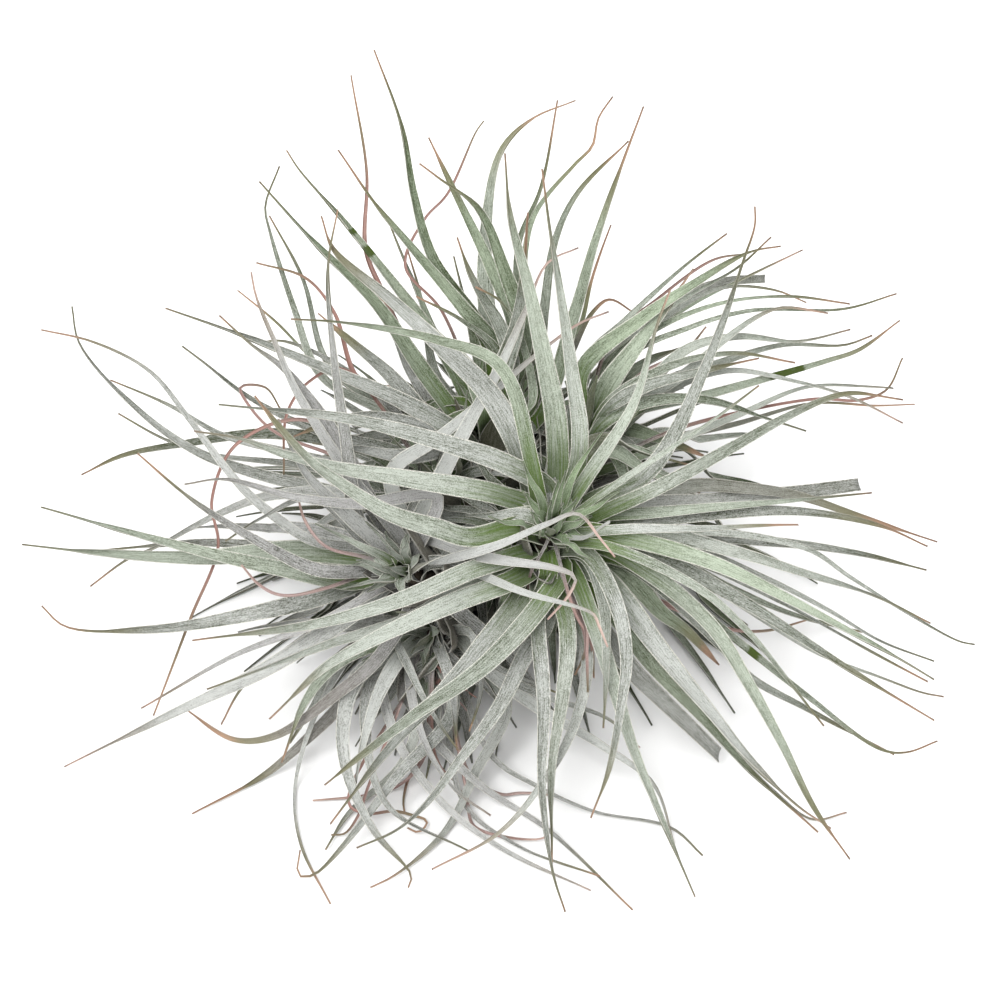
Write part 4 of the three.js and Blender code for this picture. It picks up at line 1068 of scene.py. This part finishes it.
def leaf_look():
    """Green flesh under a silver bloom of fine scales in lengthwise lines, with pale margins, and
    tips that fade to brown. Painted shade darkens the curved sides, and adds to the darker
    undersides and roots. Dead leaves are pink-brown all over."""
    look = Shader("silver_leaf")
    fibre = look.attribute("fibre").outputs["Vector"]
    along, side, under, stain = look.parts("place")
    green, dry, tone, tip_from = look.parts("habit")
    lines = look.step(look.noise(fibre, (2.4, 0.06, 1)), 0.34, 0.66)
    fine_lines = look.step(look.noise(fibre, (4.6, 0.4, 1)), 0.3, 0.7)
    scurf = look.step(look.noise(fibre, (4.0, 2.2, 1), 4.0), 0.36, 0.64)
    mottle = look.noise(fibre, (0.8, 0.3, 1))
    clouds = look.step(look.noise(fibre, (0.2, 0.04, 1)), 0.35, 0.65)
    veins = look.math("SINE", look.sum((side, 22.0), (mottle, 4.0)))

    flesh = look.mix(green, FLESH, FLESH_GREEN)
    bloom = look.mix(look.step(green, 0.35, 0.05), BLOOM, BLOOM_COOL)
    bloom = look.mix(look.step(green, 0.38, 0.88), bloom, BLOOM_GREEN)
    # The undersides: their own duller bloom, and painted shade.
    bloom = look.mix(look.times(under, 0.8), bloom, BLOOM_UNDER_SHADED)
    # The bloom thins towards the sides, from 0.6 to 0.9 of the half-width: painted shade of the
    # blade's curve.
    cover_and_shade = look.sum((lines, 0.22), (fine_lines, 0.35), (scurf, 0.5), (mottle, 0.45), (clouds, 0.2),
                     (veins, 0.07), (tone, 0.5), (look.step(along, 0.45, 0.95), -0.2),
                     (look.step(side, 0.6, 0.9), -0.12), (1.0, -0.33))
    # Less bloom near the root: partly a thinner bloom there, partly painted shade where the leaves
    # crowd round the heart.
    cover_and_shade = look.times(cover_and_shade, look.sum((look.step(along, 0.0, 0.3), 0.35), (1.0, 0.65)))
    colour = look.mix(cover_and_shade, flesh, bloom)
    young = look.step(look.sum((along, 1.0), (lines, 0.1)), 0.38, 0.1)
    heart = look.times(young, look.step(green, 0.2, 0.6))
    colour = look.mix(look.times(heart, 0.85), colour, HEART)
    edge = look.step(look.sum((side, 1.0), (scurf, 0.08)), 0.92, 0.99)
    colour = look.mix(look.times(edge, 0.8), colour, MARGIN)

    old = look.mix(look.sum((lines, 0.6), (scurf, 0.4)), DRY_DARK, DRY)
    old = look.mix(look.times(look.step(tone, 0.5, 0.1), 0.6), old, DRY_RED)
    old = look.mix(look.times(look.step(dry, 0.9, 0.5), 0.9), old, DRY_GREY)
    dried = look.times(dry, look.sum((look.step(along, 0.15, 0.5), 0.9), (1.0, 0.1)))
    colour = look.mix(dried, colour, old)
    past = look.sum((along, 1.0), (tip_from, -1.0), (scurf, 0.03), (1.0, -0.015))
    bright = look.step(tone, 0.4, 1.0)
    faded = look.mix(bright, FADED, TIP)
    fading = look.times(look.step(past, -0.2, 0.0), look.sum((bright, -0.6), (1.0, 0.75)))
    colour = look.mix(fading, colour, faded)
    tip = look.mix(bright, TIP, TIP_BRIGHT)
    colour = look.mix(look.times(look.step(past, -0.02, 0.05), 0.85), colour, tip)
    colour = look.mix(look.times(look.step(past, 0.1, 0.25), 0.5), colour, TIP_END)
    marked = look.sum((stain, 1.0), (scurf, 0.35), (lines, 0.35), (1.0, -0.35))
    colour = look.mix(look.step(marked, 0.25, 0.5), colour, STAIN)

    look.put(Base_Color=colour, Roughness=look.sum((scurf, 0.1), (1.0, 0.7)),
             Specular_IOR_Level=0.25, Sheen_Weight=0.1, Sheen_Roughness=0.6)
    look.bump(look.sum((lines, 0.25), (fine_lines, 0.3), (scurf, 0.2), (veins, 0.06)), 0.7, 0.0003)
    return look.material


def bark_look():
    """Dry, fibrous bark, grey on its ridges and dark in its cracks, all darkened with painted shade
    of the clump's inside.
    """
    look = Shader("dry_bark")
    place = look.node("ShaderNodeTexCoord", {}).outputs["Object"]
    rough = look.noise(place, (420, 420, 420), 4.0)
    grain = look.noise(place, (1500, 1500, 700), 3.0)
    patches = look.noise(place, (110, 110, 110))
    colour = look.mix(look.step(look.sum((rough, 0.7), (grain, 0.3)), 0.38, 0.6), SHADED_BARK_DARK, SHADED_BARK)
    colour = look.mix(look.times(look.step(patches, 0.5, 0.7), 0.7), colour, SHADED_BARK_GREY)
    look.put(Base_Color=colour, Roughness=look.sum((rough, 0.2), (1.0, 0.75)),
             Specular_IOR_Level=0.2)
    look.bump(look.sum((rough, 0.6), (grain, 0.5)), 0.8, 0.0006)
    return look.material


# ---- The woody base and the stems ----

BARK_CELL = 0.0008
BARK_SIDES = 24
# The bark's relief, as heights in millimetres and how close their bumps are.
BARK_RELIEF = [(1.3, 0.16), (0.7, 0.45), (0.3, 1.3)]
BARK_STEM_SHARE = 0.85
BRANCH_PROFILE = [(0, 5), (0.8, BRANCH_RADIUS), (1.05, BRANCH_RADIUS)]
ASKEW = (0.3, 1, 0.2)


def rod(bark, ends, profile):
    """A closed round rod between two ends, with a radius at each share of its length."""
    axis = unit(ends[1] - ends[0])
    side = unit(np.cross(axis, ASKEW))
    up = np.cross(axis, side)
    angle = np.arange(BARK_SIDES) / BARK_SIDES * math.tau
    ring = side * np.cos(angle)[:, None] + up * np.sin(angle)[:, None]
    rows = []
    for share, radius in profile:
        centre = mix(ends[0], ends[1], share)
        rows.append([bark.verts.new(centre + point * radius) for point in ring])
    for low, high in zip(rows, rows[1:]):
        for k in range(BARK_SIDES):
            bark.faces.new((low[k], low[k - 1], high[k - 1], high[k]))
    bark.faces.new(rows[0])
    bark.faces.new(rows[-1][::-1])


def woody_piece(rosettes):
    """The base, its branches and the stems, grown into one knotted body."""
    bark = bmesh.new()
    top = BASE_PROFILE[-1][1]
    rod(bark, (np.zeros(3), np.array([0, 0, float(top)])),
        [(height / top, radius) for radius, height in BASE_PROFILE])
    crown = in_frame(CROWN)
    for rosette in rosettes:
        heart = in_frame(rosette.heart)
        way = unit(heart - crown)
        end = crown + way * BRANCH_LENGTH
        rod(bark, (crown, end), BRANCH_PROFILE)
        rod(bark, (end, mix(end, heart, BARK_STEM_SHARE)),
            [(share, radius * BARK_STEM_SHARE) for share, radius in STEM_PROFILE])
    bmesh.ops.recalc_face_normals(bark, faces=bark.faces)
    mesh = bpy.data.meshes.new("woody_stems")
    bark.to_mesh(mesh)
    bark.free()
    mesh.transform(Matrix.Scale(METRES, 4))
    piece = placed("woody_stems", mesh)
    remesh = piece.modifiers.new("grown_together", "REMESH")
    remesh.mode = "VOXEL"
    remesh.voxel_size = BARK_CELL
    remesh.use_smooth_shade = True
    grown = piece.evaluated_get(bpy.context.evaluated_depsgraph_get())
    piece.data = bpy.data.meshes.new_from_object(grown)
    piece.modifiers.clear()
    bpy.data.meshes.remove(mesh)
    points = piece.data.vertices
    places = np.array([point.co for point in points], float) / METRES
    normals = np.array([point.normal for point in points], float)
    relief = [sum(height * noise.noise(place * pitch) for height, pitch in BARK_RELIEF)
              for place in map(Vector, places)]
    places += normals * np.array(relief)[:, None]
    places[:, 2] = np.maximum(places[:, 2], 0)
    points.foreach_set("co", (places * METRES).ravel())
    return piece


# ---- Scene ----

rosettes = [Rosette(*values) for values in ROSETTES]
for rosette in rosettes:
    rosette.leaves = grow_leaves(rosette)
frame_leaves = [leaf for rosette in rosettes for leaf in rosette.leaves]
wood = list(stems_and_base(rosettes))
lay_clear(frame_leaves + wood)

for leaf in frame_leaves:
    leaf.fixed = True
    leaf.girths = leaf.girths * EXTRA_GIRTH
for rosette in rosettes:
    rosette.extras = extra_leaves(rosette)
lay_clear(frame_leaves + wood + [leaf for rosette in rosettes for leaf in rosette.extras])

leaf_material = leaf_look()
for rosette in rosettes:
    blades = Blades()
    for leaf in (*rosette.leaves, *rosette.extras, *husks(rosette)):
        finish_leaf(leaf)
        leaf_blade(blades, leaf)
    piece = blades.build("leaves_" + rosette.name)
    piece.data.materials.append(leaf_material)
    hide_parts("rosette_" + rosette.name)
    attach(piece, "root")

base = woody_piece(rosettes)
base.data.materials.append(bark_look())
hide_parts("woody_base")
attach(base, "root")

FLOOR_HALF = 3
FLOOR_SHADE = (0.8, 0.8, 0.8, 1)
SKY_STRENGTH = 1.3
SUN_STRENGTH, SUN_ANGLE, SUN_TILT = 3.0, 0.5, (radians(25), radians(-15), 0)
LENS, SENSOR_WIDTH, CLIP_START = 168.75, 36, 0.01

floor_mesh = bpy.data.meshes.new("floor")
corners = [(x * FLOOR_HALF, y * FLOOR_HALF, 0) for x, y in ((-1, -1), (1, -1), (1, 1), (-1, 1))]
floor_mesh.from_pydata(corners, [], [(0, 1, 2, 3)])
floor = placed("floor", floor_mesh)
floor_look = Shader("floor")
floor_look.put(Base_Color=FLOOR_SHADE)
floor_mesh.materials.append(floor_look.material)

world = bpy.data.worlds.new("studio")
bpy.context.scene.world = world
world.use_nodes = True
sky = world.node_tree.nodes["Background"]
sky.inputs["Color"].default_value = (1, 1, 1, 1)
sky.inputs["Strength"].default_value = SKY_STRENGTH
sun = bpy.data.lights.new("key", "SUN")
sun.energy = SUN_STRENGTH
sun.angle = SUN_ANGLE
placed("key", sun).rotation_euler = SUN_TILT

camera_data = bpy.data.cameras.new("camera")
camera_data.lens = LENS
camera_data.sensor_width = SENSOR_WIDTH
camera_data.clip_start = CLIP_START
camera = placed("camera", camera_data)
away = Vector((0, -COS, SIN))
camera.location = Vector((0, 0, PLANE_HEIGHT * METRES)) + away * VIEW_DISTANCE * METRES
camera.rotation_euler = (-away).to_track_quat("-Z", "Y").to_euler()
bpy.context.scene.camera = camera
bpy.context.scene.view_settings.view_transform = "Standard"
